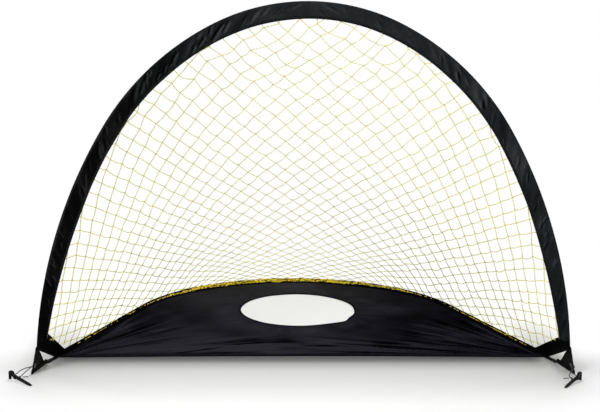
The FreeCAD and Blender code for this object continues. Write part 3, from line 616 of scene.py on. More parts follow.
def fabric(name, shade, pitch=0.0011, rough=0.34, gloss=0.012, creases=0.001, coarse=9.0, crest=0.0,
           span=(0.4, 1.8), tints=()):
    """Woven synthetic cloth with faint creases. Where the crest attribute is high it gets a painted
    highlight, where it is low painted shade.
    span is how dark and how light the shade gets, tints are further shades, each with the
    attribute that brings it in, such as the painted sheen and shade of the sleeve and the panel."""
    look = Look(name)
    u, v, _ = look.axes()
    cloud = look.noise(coarse, detail=4.0)
    fine = look.noise(scale=70.0, detail=2.0)
    stretch = look.stretched((26.0, 26.0, 18.0))
    crease = look.noise(scale=1.0, detail=4.0, roughness=0.55, vector=stretch)
    folds = 1 - (crease * 2 - 1).absolute()
    thread = waves(u, pitch) * waves(v, pitch)
    normal = look.bump(folds.power(4.0), creases, strength=0.6)
    normal = look.bump(thread, pitch * 0.16, strength=0.5, below=normal)
    tone = (cloud - 0.5) * 0.8 + (fine - 0.5) * 0.25 + thread * 0.04 + 0.48
    if crest:
        # Painted highlight on high folds and painted shade in low ones, from the crest attribute.
        tone = tone + look.attribute("crest") * crest * 0.5
    tone = tone.held(0.0, 1.0)
    base = look.shaded(tone, shade, span)
    for attribute, tint, tint_span in tints:
        base = look.mix(look.attribute(attribute), base, look.shaded(tone, tint, tint_span))
    return look.finish(Base_Color=base, Roughness=cloud.held(0, 1) * 0.14 + (rough - 0.07),
                       Normal=normal, Specular_IOR_Level=gloss)


def ribbed(name, shade, pitch=0.0016, stitch_at=None, gloss=0.02):
    """Grosgrain tape: ribs across it, and a row of stitches at a height across the tape."""
    stitch_pitch, stitched_share, half_thread, stitch_height = 0.0034, 0.68, 0.0004, 2.2
    look = Look(name)
    u, v, _ = look.axes()
    cloud = look.noise(scale=30.0)
    height = waves(u, pitch) * 0.5
    base = look.mix(cloud.held(0.3, 0.75), lighter(shade, 0.7), lighter(shade, 1.35))
    if stitch_at is not None:
        in_row = (v - stitch_at).absolute() < half_thread
        dash = ((u / stitch_pitch).fraction() < stitched_share) * in_row
        height = height + dash * stitch_height
        base = look.mix(dash, base, lighter(shade, 2.6))
    return look.finish(Base_Color=base, Roughness=cloud * 0.15 + 0.63,
                       Normal=look.bump(height, distance=0.00022, strength=0.8),
                       Specular_IOR_Level=gloss)


def corded(name, shade, second, twist=0.0042, rough=0.62, specks=0.0):
    """Twisted cord: strands wound round it, on the tube's own UV, with painted shade in the grooves
    between them.
    """
    look = Look(name)
    u, v, _ = look.axes()
    strand = ((u / twist + v * 2) * FULL_TURN).sine()
    cloud = look.noise(scale=16.0)
    base = look.mix(cloud.held(0.3, 0.72), shade, second)
    # Painted shade in the grooves between the strands.
    base = look.mix(strand.held(-1, -0.2) * -0.3 + 0.3, base, lighter(shade, 0.6))
    if specks:
        dark = look.noise(scale=115.0, detail=1.0).held(0.66 - specks, 0.69 - specks)
        base = look.mix(dark * 0.95, base, lighter(shade, 0.03))
    return look.finish(Base_Color=base, Roughness=rough, Specular_IOR_Level=0.35,
                       Normal=look.bump(strand, distance=0.0003, strength=0.7))


def moulded(name, shade):
    """Hard plastic with a fine eroded texture and scuffs."""
    look = Look(name)
    grain = look.noise(scale=900.0, detail=2.0)
    stretch = look.stretched((90.0, 90.0, 240.0))
    scuff = look.noise(scale=1.0, detail=4.0, roughness=0.6, vector=stretch).held(0.6, 0.7)
    return look.finish(Base_Color=look.mix(scuff * 0.4, shade, lighter(shade, 2.2)),
                       Roughness=grain * 0.14 + scuff * 0.2 + 0.36, Specular_IOR_Level=0.05,
                       Normal=look.bump(grain, distance=0.00012, strength=0.5))


def metal(name, shade, rough=0.34):
    """Plated steel with drawn lines and a few dull patches."""
    look = Look(name)
    stretch = look.stretched((300.0, 300.0, 30.0))
    lines = look.noise(scale=1.0, roughness=0.6, vector=stretch)
    dull = look.noise(scale=40.0).held(0.5, 0.75)
    return look.finish(Base_Color=look.mix(dull, shade, lighter(shade, 0.62)), Metallic=1.0,
                       Roughness=lines * 0.16 + dull * 0.18 + (rough - 0.1),
                       Normal=look.bump(lines, distance=0.00008, strength=0.4))


def dress(piece, material):
    """Gives a new piece its material."""
    piece.data.materials.clear()
    piece.data.materials.append(material)


def dress_node(name, material):
    """Gives a CAD node a new material through its slots."""
    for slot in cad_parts[name].material_slots:
        slot.material = material


# Sleeves

TIP_TURNS = 7
NEAR_WIRE = 0.0135
SLEEVE_TIP = 0.0096
CREASES = 80
CREASE_REACH = 0.07
LEAST_HALF = 0.0006
GROUND_GAP = 0.0003


def round_wire(s, turns):
    """Insets and heights of a sleeve's skin round its wire, at angles from the level."""
    return s.wire_inset * (1 - np.cos(turns)), s.wire_inset * np.sin(turns)


def sleeve_section(s):
    """The sleeve's outline as points (inset, high): inset from the outer edge and height off the
    layers' middle, from the stitched edge along the front, round the wire and back."""
    insets = np.concatenate([np.linspace(s.sleeve_width, NEAR_WIRE, 15), [0.0115, 0.0098]])
    share = np.clip((s.sleeve_width - insets) / (s.sleeve_width - s.wire_inset), 0, 1)
    half = s.sleeve_edge / 2 + (s.wire_inset - s.sleeve_edge / 2) * share ** 1.9
    turn = math.radians(64)
    tip_in, tip_high = round_wire(s, np.linspace(turn, -turn, TIP_TURNS))
    inset = np.concatenate([insets, tip_in, insets[::-1]])
    high = np.concatenate([half, tip_high, -half[::-1]])
    return np.stack([inset, high], axis=1)


def fold_height(along, inset, width, seed, strength):
    """Folds of a slack sleeve: they slant from the wire to the seam, down towards the foot."""
    slant, fold_pitch, height, wander = 1.5, 0.024, 0.0016, 0.012
    across = np.clip(inset / width, 0, 1)
    window = np.sin(np.pi * np.clip(across, 0.03, 0.97)) ** 0.4
    far, half = np.abs(along), np.sign(along)
    drift = value_noise(far / 0.09, inset / 0.07 + half, seed + 3) * wander
    broad = value_noise((far - inset * slant + drift) / fold_pitch, inset / 0.2 + half * 9, seed)
    some = np.clip(value_noise(far / 0.06, half * 5 + 0.5, seed + 2) * 1.2 + 0.7, 0.1, 1.5)
    return (broad * height * some + creases(along, inset, seed)) * window * strength


def creases(along, inset, seed):
    """Single creases, each a ridge with a furrow beside it."""
    draws = np.random.default_rng(seed)
    total = np.zeros(np.broadcast_shapes(along.shape, inset.shape))
    for _ in range(CREASES):
        side = draws.choice((-1, 1))
        at, middle = draws.uniform(0.0, 1.52), draws.uniform(0.012, 0.046)
        slope = draws.uniform(0.9, 2.6)
        half, wide = draws.uniform(0.014, 0.036), draws.uniform(0.0025, 0.005)
        high, deep = draws.uniform(0.0016, 0.0048), draws.uniform(0.5, 1.3)
        bend = draws.uniform(-5, 5)
        near = np.abs(along[:, 0] * side - at) < CREASE_REACH
        if not near.any():
            continue
        run, rise = along[near] * side - at, inset - middle
        norm = math.hypot(slope, 1)
        onward, aside = (run * slope + rise) / norm, (run - rise * slope) / norm
        aside = aside + bend * onward ** 2
        furrow = np.exp(-((aside - 1.7 * wide) / wide) ** 2)
        shape = np.exp(-(aside / wide) ** 2) - deep * furrow
        total[near] += high * shape * np.clip(1 - (onward / half) ** 2, 0, 1)
    return total


def slack(along):
    """How slack the sleeve is: most on the left haunch and leg, little over the crown."""
    places = (-1.6, -1.3, -0.9, -0.55, -0.3, -0.12, 0.2, 0.42, 0.6, 0.85, 1.3, 1.6)
    amounts = (0.5, 0.55, 0.75, 1.0, 1.0, 0.25, 0.15, 0.35, 0.7, 0.6, 0.3, 0.35)
    return np.interp(along, places, amounts)


def painted_sheen(along):
    """How little painted sheen the sleeve has, from 0 to 1: none on the left leg, most over the crown
    and much of it on the right side.
    """
    places = (-1.5, -0.75, -0.5, -0.35, -0.12, 0.1, 0.4, 1.5)
    return np.interp(along, places, (1.0, 1.0, 0.75, 0.4, 0.05, 0.0, 0.22, 0.28))


def front_sleeve():
    """The front arch's slack sleeve, with painted sheen most over the crown, a painted highlight
    along its wire edge on the left leg, and painted highlights and shade on its folds.
    """
    s = sizes()
    line = front_line(step=0.0028)
    section = sleeve_section(s)
    inset, high = section.T
    along = line.along[:, None]
    side = np.sign(high + 1e-9)
    front, back = (fold_height(along, inset[None, :], s.sleeve_width, seed, slack(along))
                   for seed in (11, 31))
    wrinkle = np.where(side > 0, front, back)
    offset = high + side * np.maximum(wrinkle, LEAST_HALF - np.abs(high))
    pull = value_noise(along / 0.06, 0, 5) * 0.0009 * (inset / s.sleeve_width)
    made = swept_piece("front_arch_sleeve", line.section(inset + pull, offset), section,
                       line.along)
    # Painted highlight along the wire edge of the left leg, and painted highlight and shade that
    # follow the folds' height.
    painted_rim_highlight = np.interp(line.along, (-1.45, -1.2, -0.7, -0.5), (0, 1.4, 1.2, 0))
    crest_height, edge = 0.0017, 0.0035
    crest = wrinkle / crest_height + painted_rim_highlight[:, None] * (inset < edge)
    marked(made, "crest", np.clip(crest, -1.2, 1.6))
    # Painted sheen: the deep attribute brings in the plain black cloth on the left leg and keeps the
    # sheen-painted colour over the crown and the right side.
    marked(made, "deep", np.repeat(painted_sheen(line.along), len(inset)))
    tints = (("deep", colours().sleeve_deep, (0.3, 7.5)),)
    dress(made, fabric("sleeve_cloth", colours().sleeve, crest=1.0, span=(0.08, 2.8), tints=tints))
    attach(made, "front_arch")
    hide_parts("front_sleeve")


def seam_binding():
    """Tape folded over the stitched edge, its seam a little wavy."""
    s = sizes()
    line = front_line()
    over_edge = s.sleeve_width + 0.0011
    half = np.array([0.0022, 0.0026, 0.0028, 0.0029, 0.0027])
    inset = over_edge - np.array([0, 0.15, 0.5, 0.85, 1]) * s.binding_width
    front = np.stack([inset, half], axis=1)
    ring = np.concatenate([front, front[::-1] * [1, -1]])
    wave = value_noise(line.along / 0.09, 7, 8)[:, None] * 0.0008
    rows = line.section(ring[:, 0] + wave, ring[:, 1])
    made = swept_piece("arch_seam_binding", rows, ring, line.along)
    dress(made, ribbed("binding_tape", colours().binding, stitch_at=0.0066))
    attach(made, "front_arch")
    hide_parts("front_seam_binding")


def rear_sleeve():
    """The rear arch's sleeve, flat on the ground."""
    s = sizes()
    line = rear_line(step=0.0045)
    insets = np.concatenate([np.linspace(s.sleeve_width, NEAR_WIRE, 12), [0.0115, SLEEVE_TIP]])
    share = (s.sleeve_width - insets) / (s.sleeve_width - s.wire_inset)
    top = s.sleeve_edge + (2 * s.wire_inset - s.sleeve_edge) * share ** 1.4
    tip_in, tip_high = round_wire(s, np.radians(np.linspace(60, -90, TIP_TURNS + 1)))
    inset = np.concatenate([insets, tip_in, [0.03, s.sleeve_width]])
    high = np.concatenate([top, s.wire_inset + tip_high, [0.0, 0.0]])
    section = np.stack([inset, high], axis=1)
    along = line.along[:, None]
    lifted = np.clip(high / s.wire_inset, 0, 1)
    wrinkle = fold_height(along, inset[None, :], s.sleeve_width, 51, 0.9) * lifted
    tall = np.maximum(high + wrinkle, 0)
    narrow = (rear_width(along) - SLEEVE_TIP) / (s.sleeve_width - SLEEVE_TIP)
    inset = np.where(inset > SLEEVE_TIP, SLEEVE_TIP + (inset - SLEEVE_TIP) * narrow, inset)
    made = swept_piece("rear_arch_sleeve", line.section(inset, tall), section, line.along)
    dress(made, fabric("rear_sleeve_cloth", colours().sleeve_deep, gloss=0.0))
    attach(made, "ground_half")
    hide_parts("rear_sleeve")


def chain(points, steps):
    """A run of points with each of its parts cut into its own count of steps."""
    cut = [first.lerp(second, k / count)
           for first, second, count in zip(points, points[1:], steps) for k in range(count)]
    return np.array(cut + [points[-1]])


def corner_band(sign):
    """The sleeve round the corner: its wire edge turns back at the knee and its inner edge folds
    over."""
    s, corner = sizes(), Corner()
    section = sleeve_section(s)
    inset, high = section.T
    line = front_line()
    leg_station = -6 if sign < 0 else -3
    start, first = Vector(line.wire[leg_station]), Vector(line.at(s.sleeve_width)[leg_station])
    low, toe = corner.low(sign), corner.ankle + Vector((0, -0.011, -0.0006))
    steps, rounds = (6, 8, 36, 2), 5
    tucked, lowered = corner.band_way * 0.004, Vector((0, 0, -0.006))
    wire = chain([start, corner.leg_end, corner.knee, toe, toe + tucked], steps)
    edge = chain([first, first.lerp(low, 0.1), first.lerp(low, 0.25), low, low + lowered], steps)
    for _ in range(rounds):
        for side in (wire, edge):
            side[1:-1] = (side[:-2] + side[1:-1] * 2 + side[2:]) / 4
    along = run_along(wire)
    across = edge - wire
    face = np.cross(np.gradient(wire, axis=0), across)
    face /= -np.linalg.norm(face, axis=1, keepdims=True)
    share = (inset - s.wire_inset) / (s.sleeve_width - s.wire_inset)
    crease = fold_height(0.9 + along[:, None], inset[None, :], s.sleeve_width, 71, 1.0)
    off = high + np.sign(high) * crease
    unit = across / np.linalg.norm(across, axis=1)[:, None]
    rows = (wire[:, None] + across[:, None] * np.maximum(share, 0)[None, :, None]
            + unit[:, None] * np.minimum(inset - s.wire_inset, 0)[None, :, None]
            + face[:, None] * off[..., None])
    rows[..., 2] = np.maximum(rows[..., 2], GROUND_GAP)
    rows[..., 0] *= sign
    side = "right" if sign > 0 else "left"
    made = swept_piece("corner_band_" + side, rows, section, along)
    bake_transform(made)
    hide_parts("corner_sleeve_" + side)
    return made


def rear_layers(s, inset):
    """Height of the rear sleeve at an inset from its outer edge."""
    slope = (2 * s.wire_inset - s.sleeve_edge) / (s.sleeve_width - s.wire_inset)
    return 2 * s.wire_inset - (inset - s.wire_inset) * slope


# Net

SEAM_INSET = 0.012
NET_CLEAR = 0.0044
FLIP = np.array([-1, 1, 1])


class NetSurface:
    """The surface on which the net hangs, between the front arch, the rear arch and the two
    corners. A place on it is a pair of numbers: 0 to ACROSS from the right to the left, and
    0 to DEEP from the front arch back to the rear arch."""

    ACROSS, DEEP = 120, 90
    HALF_POINTS, LEG_POINTS, SIDE_POINTS = 200, 40, 52
    BESIDE_SEAM, BEHIND_SEAM = 0.0001, -0.003
    DOWN_CORNER, OFF_CORNER = 0.93, (-0.004, 0.004, 0.004)
    ABOVE_CORNER, BEHIND_CORNER = 0.012, 0.02
    PULL, ROUNDS = 1.7, 64

    def __init__(self):
        s, corner = sizes(), Corner()
        front, rear = front_line(step=0.01), rear_line(step=0.01)
        seam = front.at(s.sleeve_width + self.BESIDE_SEAM, self.BEHIND_SEAM)
        arch = evenly(seam[front.along >= 0][::-1], self.HALF_POINTS)
        lying = rear.at(SEAM_INSET, rear_layers(s, SEAM_INSET) + NET_CLEAR)
        ground = evenly(lying[rear.along >= 0][::-1], self.HALF_POINTS)
        top = corner.inner_leg_end()
        low = top.lerp(corner.low(1), self.DOWN_CORNER)
        leg, side = arch[:self.LEG_POINTS + 1], ground[:self.SIDE_POINTS + 1]
        right = evenly(np.concatenate([
            leg[leg[:, 2] > top.z + self.ABOVE_CORNER][::-1], [top, low + Vector(self.OFF_CORNER)],
            side[side[:, 1] > low.y + self.BEHIND_CORNER]]), self.DEEP)
        first = evenly(mirrored(arch[self.LEG_POINTS:]), self.ACROSS)
        last = evenly(mirrored(ground[self.SIDE_POINTS:]), self.ACROSS)
        u = np.linspace(0, 1, self.ACROSS + 1)[:, None, None]
        v = np.linspace(0, 1, self.DEEP + 1)[None, :, None]
        grid = first[:, None] * (1 - v) + last[:, None] * v
        for border, pull in ((right, (1 - u) ** self.PULL), (right * FLIP, u ** self.PULL)):
            grid = grid + (border[None] - border[0] * (1 - v) - border[-1] * v) * pull
        for _ in range(self.ROUNDS):
            grid[1:-1, 1:-1] = (grid[:-2, 1:-1] + grid[2:, 1:-1] + grid[1:-1, :-2]
                                + grid[1:-1, 2:]) / 4
        self.grid = grid

    def at(self, where):
        """The point in space at a place, which may lie a little beyond the borders."""
        a, b = where
        i = min(max(int(math.floor(a)), 0), self.ACROSS - 1)
        j = min(max(int(math.floor(b)), 0), self.DEEP - 1)
        fa, fb = a - i, b - j
        g = self.grid
        return (g[i, j] * (1 - fa) * (1 - fb) + g[i + 1, j] * fa * (1 - fb)
                + g[i, j + 1] * (1 - fa) * fb + g[i + 1, j + 1] * fa * fb)

    def apart(self, one, other):
        return np.linalg.norm(self.at(one) - self.at(other))

    def inside(self, where, margin=0.0):
        return (-margin <= where[0] <= self.ACROSS + margin
                and -margin <= where[1] <= self.DEEP + margin)

    def cut(self, inner, outer):
        """Where the way from a place inside to one outside meets the border."""
        share = 1.0
        for k, top in enumerate((self.ACROSS, self.DEEP)):
            for limit in (0.0, float(top)):
                if (outer[k] - limit) * (inner[k] - limit) < 0:
                    share = min(share, (limit - inner[k]) / (outer[k] - inner[k]))
        return inner + (outer - inner) * share


def mirrored(half):
    """A right half that ends in the middle, with the left half after it."""
    return np.concatenate([half, (half[:-1] * FLIP)[::-1]])


class Sight:
    """The place and the turn of the camera. The net's meshes are counted in its picture."""

    PLACE = np.array([-0.1618, -3.9118, 1.304])
    TURN, DIP, ROLL = -0.0369, 0.1923, 0.0114

    def __init__(self):
        level_right = np.array([math.cos(self.TURN), math.sin(self.TURN), 0])
        level = np.array([-math.sin(self.TURN), math.cos(self.TURN), 0])
        self.ahead = level * math.cos(self.DIP) - np.array([0, 0, math.sin(self.DIP)])
        up = np.cross(level_right, self.ahead)
        self.up = up * math.cos(self.ROLL) - level_right * math.sin(self.ROLL)
        self.right = level_right * math.cos(self.ROLL) + up * math.sin(self.ROLL)

    def pixel(self, point):
        """Where a point shows, in pixels right of the picture's middle and below it."""
        away = point - self.PLACE
        deep = away @ self.ahead
        return np.array([away @ self.right, -(away @ self.up)]) * FOCAL_PIXELS / deep


def solved(function, start):
    """Newton's steps to where two measures are both nothing, or None."""
    tries, nudge, longest_step = 14, 1e-3, 3
    close, close_enough, flat, still = 1e-8, 1e-5, 1e-14, 1e-9
    where = np.array(start, float)
    for _ in range(tries):
        miss = function(where)
        if np.abs(miss).max() < close:
            return where
        slope = np.zeros((2, 2))
        for k in range(2):
            nudged = where.copy()
            nudged[k] += nudge
            slope[:, k] = (function(nudged) - miss) / nudge
        if abs(np.linalg.det(slope)) < flat:
            return None
        step = np.linalg.solve(slope, -miss)
        where = where + step * min(1.0, longest_step / max(np.abs(step).max(), still))
    return where if np.abs(function(where)).max() < close_enough else None


def series(x, factors):
    """The sum of factors times x to the power 0, 1, 2 and so on."""
    total = 0.0
    for factor in reversed(factors):
        total = total * x + factor
    return total


class NetGrain:
    """Knots of the net, where two counts of its crossing cords are both whole numbers.

    The counts follow the way the net hangs as the camera sees it: its rows fall toward the
    middle, flatter lower down, and its columns stand up beside the legs. A place is measured
    aside from AXIS and below LEVEL, in hundreds of pixels. ROWS counts the rows down the middle,
    and BOW, SPLAY and FLARE are what they gain and lose toward the legs. CROWN and BUNCHED crowd
    them under the crown and near the ground. COLUMNS, WIDER and LAST count the columns, and both
    halves are drawn together round SEAM_AT.
    """

    AXIS, LEVEL, UNIT = -12.0, -6.0, 100.0
    ROWS = (9.0, 2.8, 0.85, 0.07)
    BOW, SPLAY, FLARE = (1.43, 2.33, 0.68), (0.31, 0.59), 0.02
    COLUMNS, WIDER, LAST = (5.9, 1.4, 0.22, -0.11), 0.3, -0.14
    CROWN, CROWN_FROM, CROWN_HALF = 0.8, -0.9, 0.5
    BUNCHED, BUNCHED_FROM, BUNCHED_TO, BUNCHED_FADE = 14.0, 0.4, 1.3, 0.8
    FIRST_ROW, FIRST_COLUMN = 0.5, 0.7
    SEAM_AT, SEAM_HALF = -0.12, 0.8
    MARGIN = 5
    LONGEST_STEP, LONGEST_BAR = 2, 2.6

    def __init__(self, surface, bar):
        self.surface, self.bar, self.sight = surface, bar, Sight()
        self.knots = {}
        half = surface.ACROSS / 2
        _, self.middle_low, _, self.middle_across = np.array(
            [self.swept(np.array([half, v])) for v in range(-4, surface.DEEP + 8)]).T
        self.spread()
        for (m, n), where in list(self.knots.items()):
            if m >= n:
                self.knots[(n, m)] = np.array([surface.ACROSS - where[0], where[1]])

    def swept(self, where):
        """A place of the left half: how far aside and how low it shows, and the rows and columns
        from the middle to it."""
        x, y = self.sight.pixel(self.surface.at(where))
        aside, low = (self.AXIS - x) / self.UNIT, (y - self.LEVEL) / self.UNIT
        crown = (self.CROWN * eased((self.CROWN_FROM - low) / -self.CROWN_FROM)
                 * math.exp(-(aside / self.CROWN_HALF) ** 2))
        bunched = (self.BUNCHED * max(low - self.BUNCHED_FROM, 0.0) ** 2
                   * eased((self.BUNCHED_TO - aside) / self.BUNCHED_FADE))
        along = (crown - bunched - low * series(low, self.ROWS)
                 + aside ** 2 * series(low, self.BOW) - aside ** 3 * series(low, self.SPLAY)
                 + self.FLARE * aside ** 4)
        across = (aside * series(low, self.COLUMNS) + self.WIDER * aside ** 3
                  + self.LAST * aside ** 4)
        return aside, low, along + self.FIRST_ROW, across + self.FIRST_COLUMN

    def counts(self, where):
        """Both counts, drawn to the net's own middle line so that its two halves meet there."""
        aside, low, along, across = self.swept(where)
        off = np.interp(low, self.middle_low, self.middle_across)
        across -= off * math.exp(-((aside - self.SEAM_AT) / self.SEAM_HALF) ** 2)
        return np.array([along + across, along - across])

    def spread(self):
        """Finds the left half's knots one from another, from one near the net's middle on."""
        surface = self.surface
        middle = np.array([surface.ACROSS / 2, surface.DEEP * 0.5])
        start = np.round(self.counts(middle).mean())
        self.knots[(int(start), int(start))] = solved(lambda x: self.counts(x) - start, middle)
        waiting = [(int(start), int(start))]
        while waiting:
            m, n = waiting.pop(0)
            where = self.knots[(m, n)]
            if not surface.inside(where, self.MARGIN / 2):
                continue
            for dm, dn in ((1, 0), (-1, 0), (0, 1), (0, -1)):
                key = (m + dm, n + dn)
                if key in self.knots or key[0] < key[1]:
                    continue
                behind = self.knots.get((m - dm, n - dn))
                guess = where if behind is None else 2 * where - behind
                found = solved(lambda x: self.counts(x) - key, guess)
                if found is None or not surface.inside(found, self.MARGIN):
                    continue
                if surface.apart(found, where) > self.bar * self.LONGEST_STEP:
                    continue
                self.knots[key] = found
                waiting.append(key)


def net_bars(grain):
    """Every bar as a pair of places on the surface, cut off at the net's borders."""
    surface, bars = grain.surface, []
    for (m, n), where in grain.knots.items():
        here = surface.inside(where)
        for dm, dn in ((1, 0), (0, 1)):
            other = grain.knots.get((m + dm, n + dn))
            behind = grain.knots.get((m - dm, n - dn))
            if other is not None:
                there = surface.inside(other)
                if surface.apart(where, other) > grain.bar * grain.LONGEST_BAR:
                    continue
                if here and there:
                    bars.append((where, other))
                elif here or there:
                    inner, outer = (where, other) if here else (other, where)
                    bars.append((inner, surface.cut(inner, outer)))
                if here and behind is None:
                    bars += loose_end(surface, where, other)
            elif here and behind is not None:
                bars += loose_end(surface, where, behind)
    return bars


def loose_end(surface, where, behind):
    """The bar that runs on from a knot to the border, where that is near."""
    reach, shortest = 2.6, 0.002
    onward = where + (where - behind) * reach
    if surface.inside(onward):
        return []
    end = surface.cut(where, onward)
    return [(where, end)] if surface.apart(end, where) > shortest else []


# A knot's lump: its points by half its length, and its radii by the cord's
KNOT_STEPS, KNOT_HALF = np.array([-1, -0.5, 0.5, 1]), 0.0026
KNOT_RADII, KNOT_WIDE = np.array([0.5, 1.0, 1.0, 0.5]), 1.75

# The net's bands: their limits beside the middle
BAND_EDGES = (0.0, 0.2, 0.37, 0.51, 0.62, 0.72, 1.0)
LEAST_BARS = 1000


class NetHang:
    """Small random moves of the net's knots and bars, all drawn from one seed."""

    SEED, DIGITS = 3, 6
    BORDER = 1e-3
    MOVE, SLACK_MOVE, SLACK_DEEP = 0.0014, 0.004, 26
    MOVE_SHARES, SAG_WAY = np.array([1, 0.6, 1]), (0, 0.2, 1)
    SAG, SWAY = 0.03, 0.02
    STEPS = np.linspace(0, 1, 4)

    def __init__(self, surface):
        self.surface, self.draws, self.shift = surface, np.random.default_rng(self.SEED), {}

    def placed(self, where):
        """A knot's place, moved a little, more where the net is slack."""
        surface = self.surface
        key = tuple(round(float(part), self.DIGITS) for part in where)
        if key not in self.shift:
            high = eased(surface.at(where)[2] * 1.6 - 0.7)
            near = max(0.0, 1 - where[1] / self.SLACK_DEEP)
            move = self.MOVE + self.SLACK_MOVE * near * high
            to_border = min(where[0], surface.ACROSS - where[0], where[1], surface.DEEP - where[1])
            move = 0 if to_border < self.BORDER else move
            self.shift[key] = self.draws.normal(0, move, 3) * self.MOVE_SHARES
        return surface.at(where) + self.shift[key]

    def bar(self, first, second):
        """A bar that sags and sways between its ends."""
        arc = np.sin(np.pi * self.STEPS)
        long = np.linalg.norm(second - first)
        sag = arc * long * abs(self.draws.normal(self.SAG, self.SAG))
        sway = self.draws.normal(0, self.SWAY, 3) * long
        line = first + (second - first) * self.STEPS[:, None]
        return line - np.outer(sag, self.SAG_WAY) + np.outer(arc, sway)

    def lumps(self, knots):
        """A short thick line through each knot, which way round is left to chance."""
        ways = self.draws.normal(0, 1, knots.shape)
        ways /= np.linalg.norm(ways, axis=1, keepdims=True)
        return knots[:, None] + ways[:, None] * (KNOT_STEPS * KNOT_HALF)[None, :, None]


def net():
    """The net in bands by their distance from the middle."""
    s = sizes()
    surface = NetSurface()
    grain, hang = NetGrain(surface, s.mesh_bar), NetHang(surface)
    ends = [(hang.placed(a), hang.placed(b)) for a, b in net_bars(grain)]
    if len(ends) < LEAST_BARS:
        raise RuntimeError(f"the net has only {len(ends)} bars")
    lines = np.array([hang.bar(first, second) for first, second in ends])
    beside = np.array([abs((first + second)[0]) / 2 for first, second in ends])
    knots = np.array([hang.placed(w) for w in grain.knots.values() if surface.inside(w)])
    lumps = hang.lumps(knots)
    look = corded("net_cord", colours().net, lighter(colours().net, 1.12))
    for n, (low, high) in enumerate(zip(BAND_EDGES, BAND_EDGES[1:])):
        radius = s.net_cord / 2 * (0.86 + 0.2 * eased(n / 3))
        bars = tubes(f"net_bars_{n}", lines[(beside >= low) & (beside < high)], radius)
        knots_beside = np.abs(knots[:, 0])
        tied = tubes(f"net_knots_{n}", lumps[(knots_beside >= low) & (knots_beside < high)],
                     KNOT_RADII * radius * KNOT_WIDE)
        band = join(f"net_band_{n + 1}", [bars, tied])
        dress(band, look)
        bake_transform(band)
        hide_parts("net")


def gathered_edge():
    """The net's edge, bunched into a rope of loose strands along the rear sleeve."""
    s = sizes()
    strands, radius, short_of_corner, thin_end = 13, 0.002, 0.095, 0.05
    left_from, right_from, thins_over = 0.32, 0.16, 0.5
    line = rear_line(step=0.006)
    reach = line.along[-1] - short_of_corner
    keep = np.abs(line.along) <= reach
    along = line.along[keep]
    thins_from = np.where(along > 0, right_from, left_from)
    far = np.clip((np.abs(along) - thins_from) / thins_over, 0, 1)
    patch = value_noise(along / 0.034, 0, 44) + value_noise(along / 0.011, 0, 45) * 0.6
    seen = np.clip(1.4 - far * 2.6 + patch * 1.6, 0, 1)
    thick = np.clip((reach - np.abs(along)) / thin_end, 0.15, 1) * (1 - 0.8 * far)
    thick = thick * (1 - 0.6 * far * (1 - seen))
    lines = []
    for n in range(strands):
        wander = value_noise(along / 0.05, n, 60 + n)
        lift = value_noise(along / 0.037, n, 90 + n)
        twist = 18 if n % 2 else -14
        round_about = n * FULL_TURN / strands + along * twist + wander * 1.6
        inset = 0.034 - 0.021 * far + (np.cos(round_about) * 0.0125 + wander * 0.003) * thick
        high = (rear_layers(s, inset) + 0.0012 - 0.0034 * (1 - seen)
                + (0.0026 + np.sin(round_about) * 0.0024 + lift * 0.0012) * thick)
        lines.append(line.wire[keep] + line.across[keep] * (inset - s.wire_inset)[:, None]
                     + line.face[keep] * high[:, None])
    made = tubes("net_gathered_edge", np.array(lines), np.clip(0.4 + 0.6 * thick, 0.4, 1) * radius)
    dress(made, corded("gathered_cord", colours().gather, lighter(colours().gather, 1.25),
                       specks=0.14))
    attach(made, "ground_half")
    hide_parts("net_rear_gather")


# Panel

HOLE_BULGE, HOLE_BULGE_AT, HOLE_BULGE_HALF = 0.07, -0.74, 0.17
PANEL_LIFT = 0.0016
PANEL_UNDER = 0.0003

# Folds of a fan: cell by turn and by distance, step of place and seed, height, share at the corner
FANS = ((0.11, 0.8, 0, 0.004, 1.0), (0.052, 0.5, 3, 0.0045, 0.3), (0.022, 0.3, 5, 0.0032, 1.0))


def ringed_cloth(name, outline, hole, rings, rise, thickness=None, under=None):
    """A closed sheet between a hole and an outline, both closed rings of the same count of flat
    points. rise gives the upper face's height at each flat point. The lower face lies a thickness
    below it, or flat at under and with fewer rings."""

    def spread(count):
        share = np.linspace(0, 1, count)[:, None, None]
        return hole[None] * (1 - share) + outline[None] * share

    flat, below = spread(rings), spread(rings if under is None else rings // 6)
    upper = np.concatenate([flat, rise(flat[..., 0], flat[..., 1])[..., None]], axis=2)
    if under is None:
        base = rise(below[..., 0], below[..., 1]) - thickness
    else:
        base = np.full(below.shape[:2], under)
    lower = np.concatenate([below, base[..., None]], axis=2)
    sheet = np.concatenate([upper, lower[::-1]])
    count = outline.shape[0]
    last = (len(sheet) - 1) * count
    here, onward = np.arange(count), (np.arange(count) + 1) % count
    closing = np.stack([here + last, onward + last, onward, here], axis=1)
    faces = np.concatenate([grid_faces(len(sheet), count), closing])
    uv = np.concatenate([flat, below[::-1]]).reshape(-1, 2)
    return tidy_shell(piece_from(name, sheet.reshape(-1, 3), faces, uv))


def round_hole(outline, centre, radius):
    """A ring about a centre, with a point toward each point of an outline."""
    turns = np.arctan2(outline[:, 1] - centre[1], outline[:, 0] - centre[0])
    around = np.stack([np.cos(turns), np.sin(turns)], axis=1)
    return centre + around * np.reshape(radius(turns), (-1, 1))


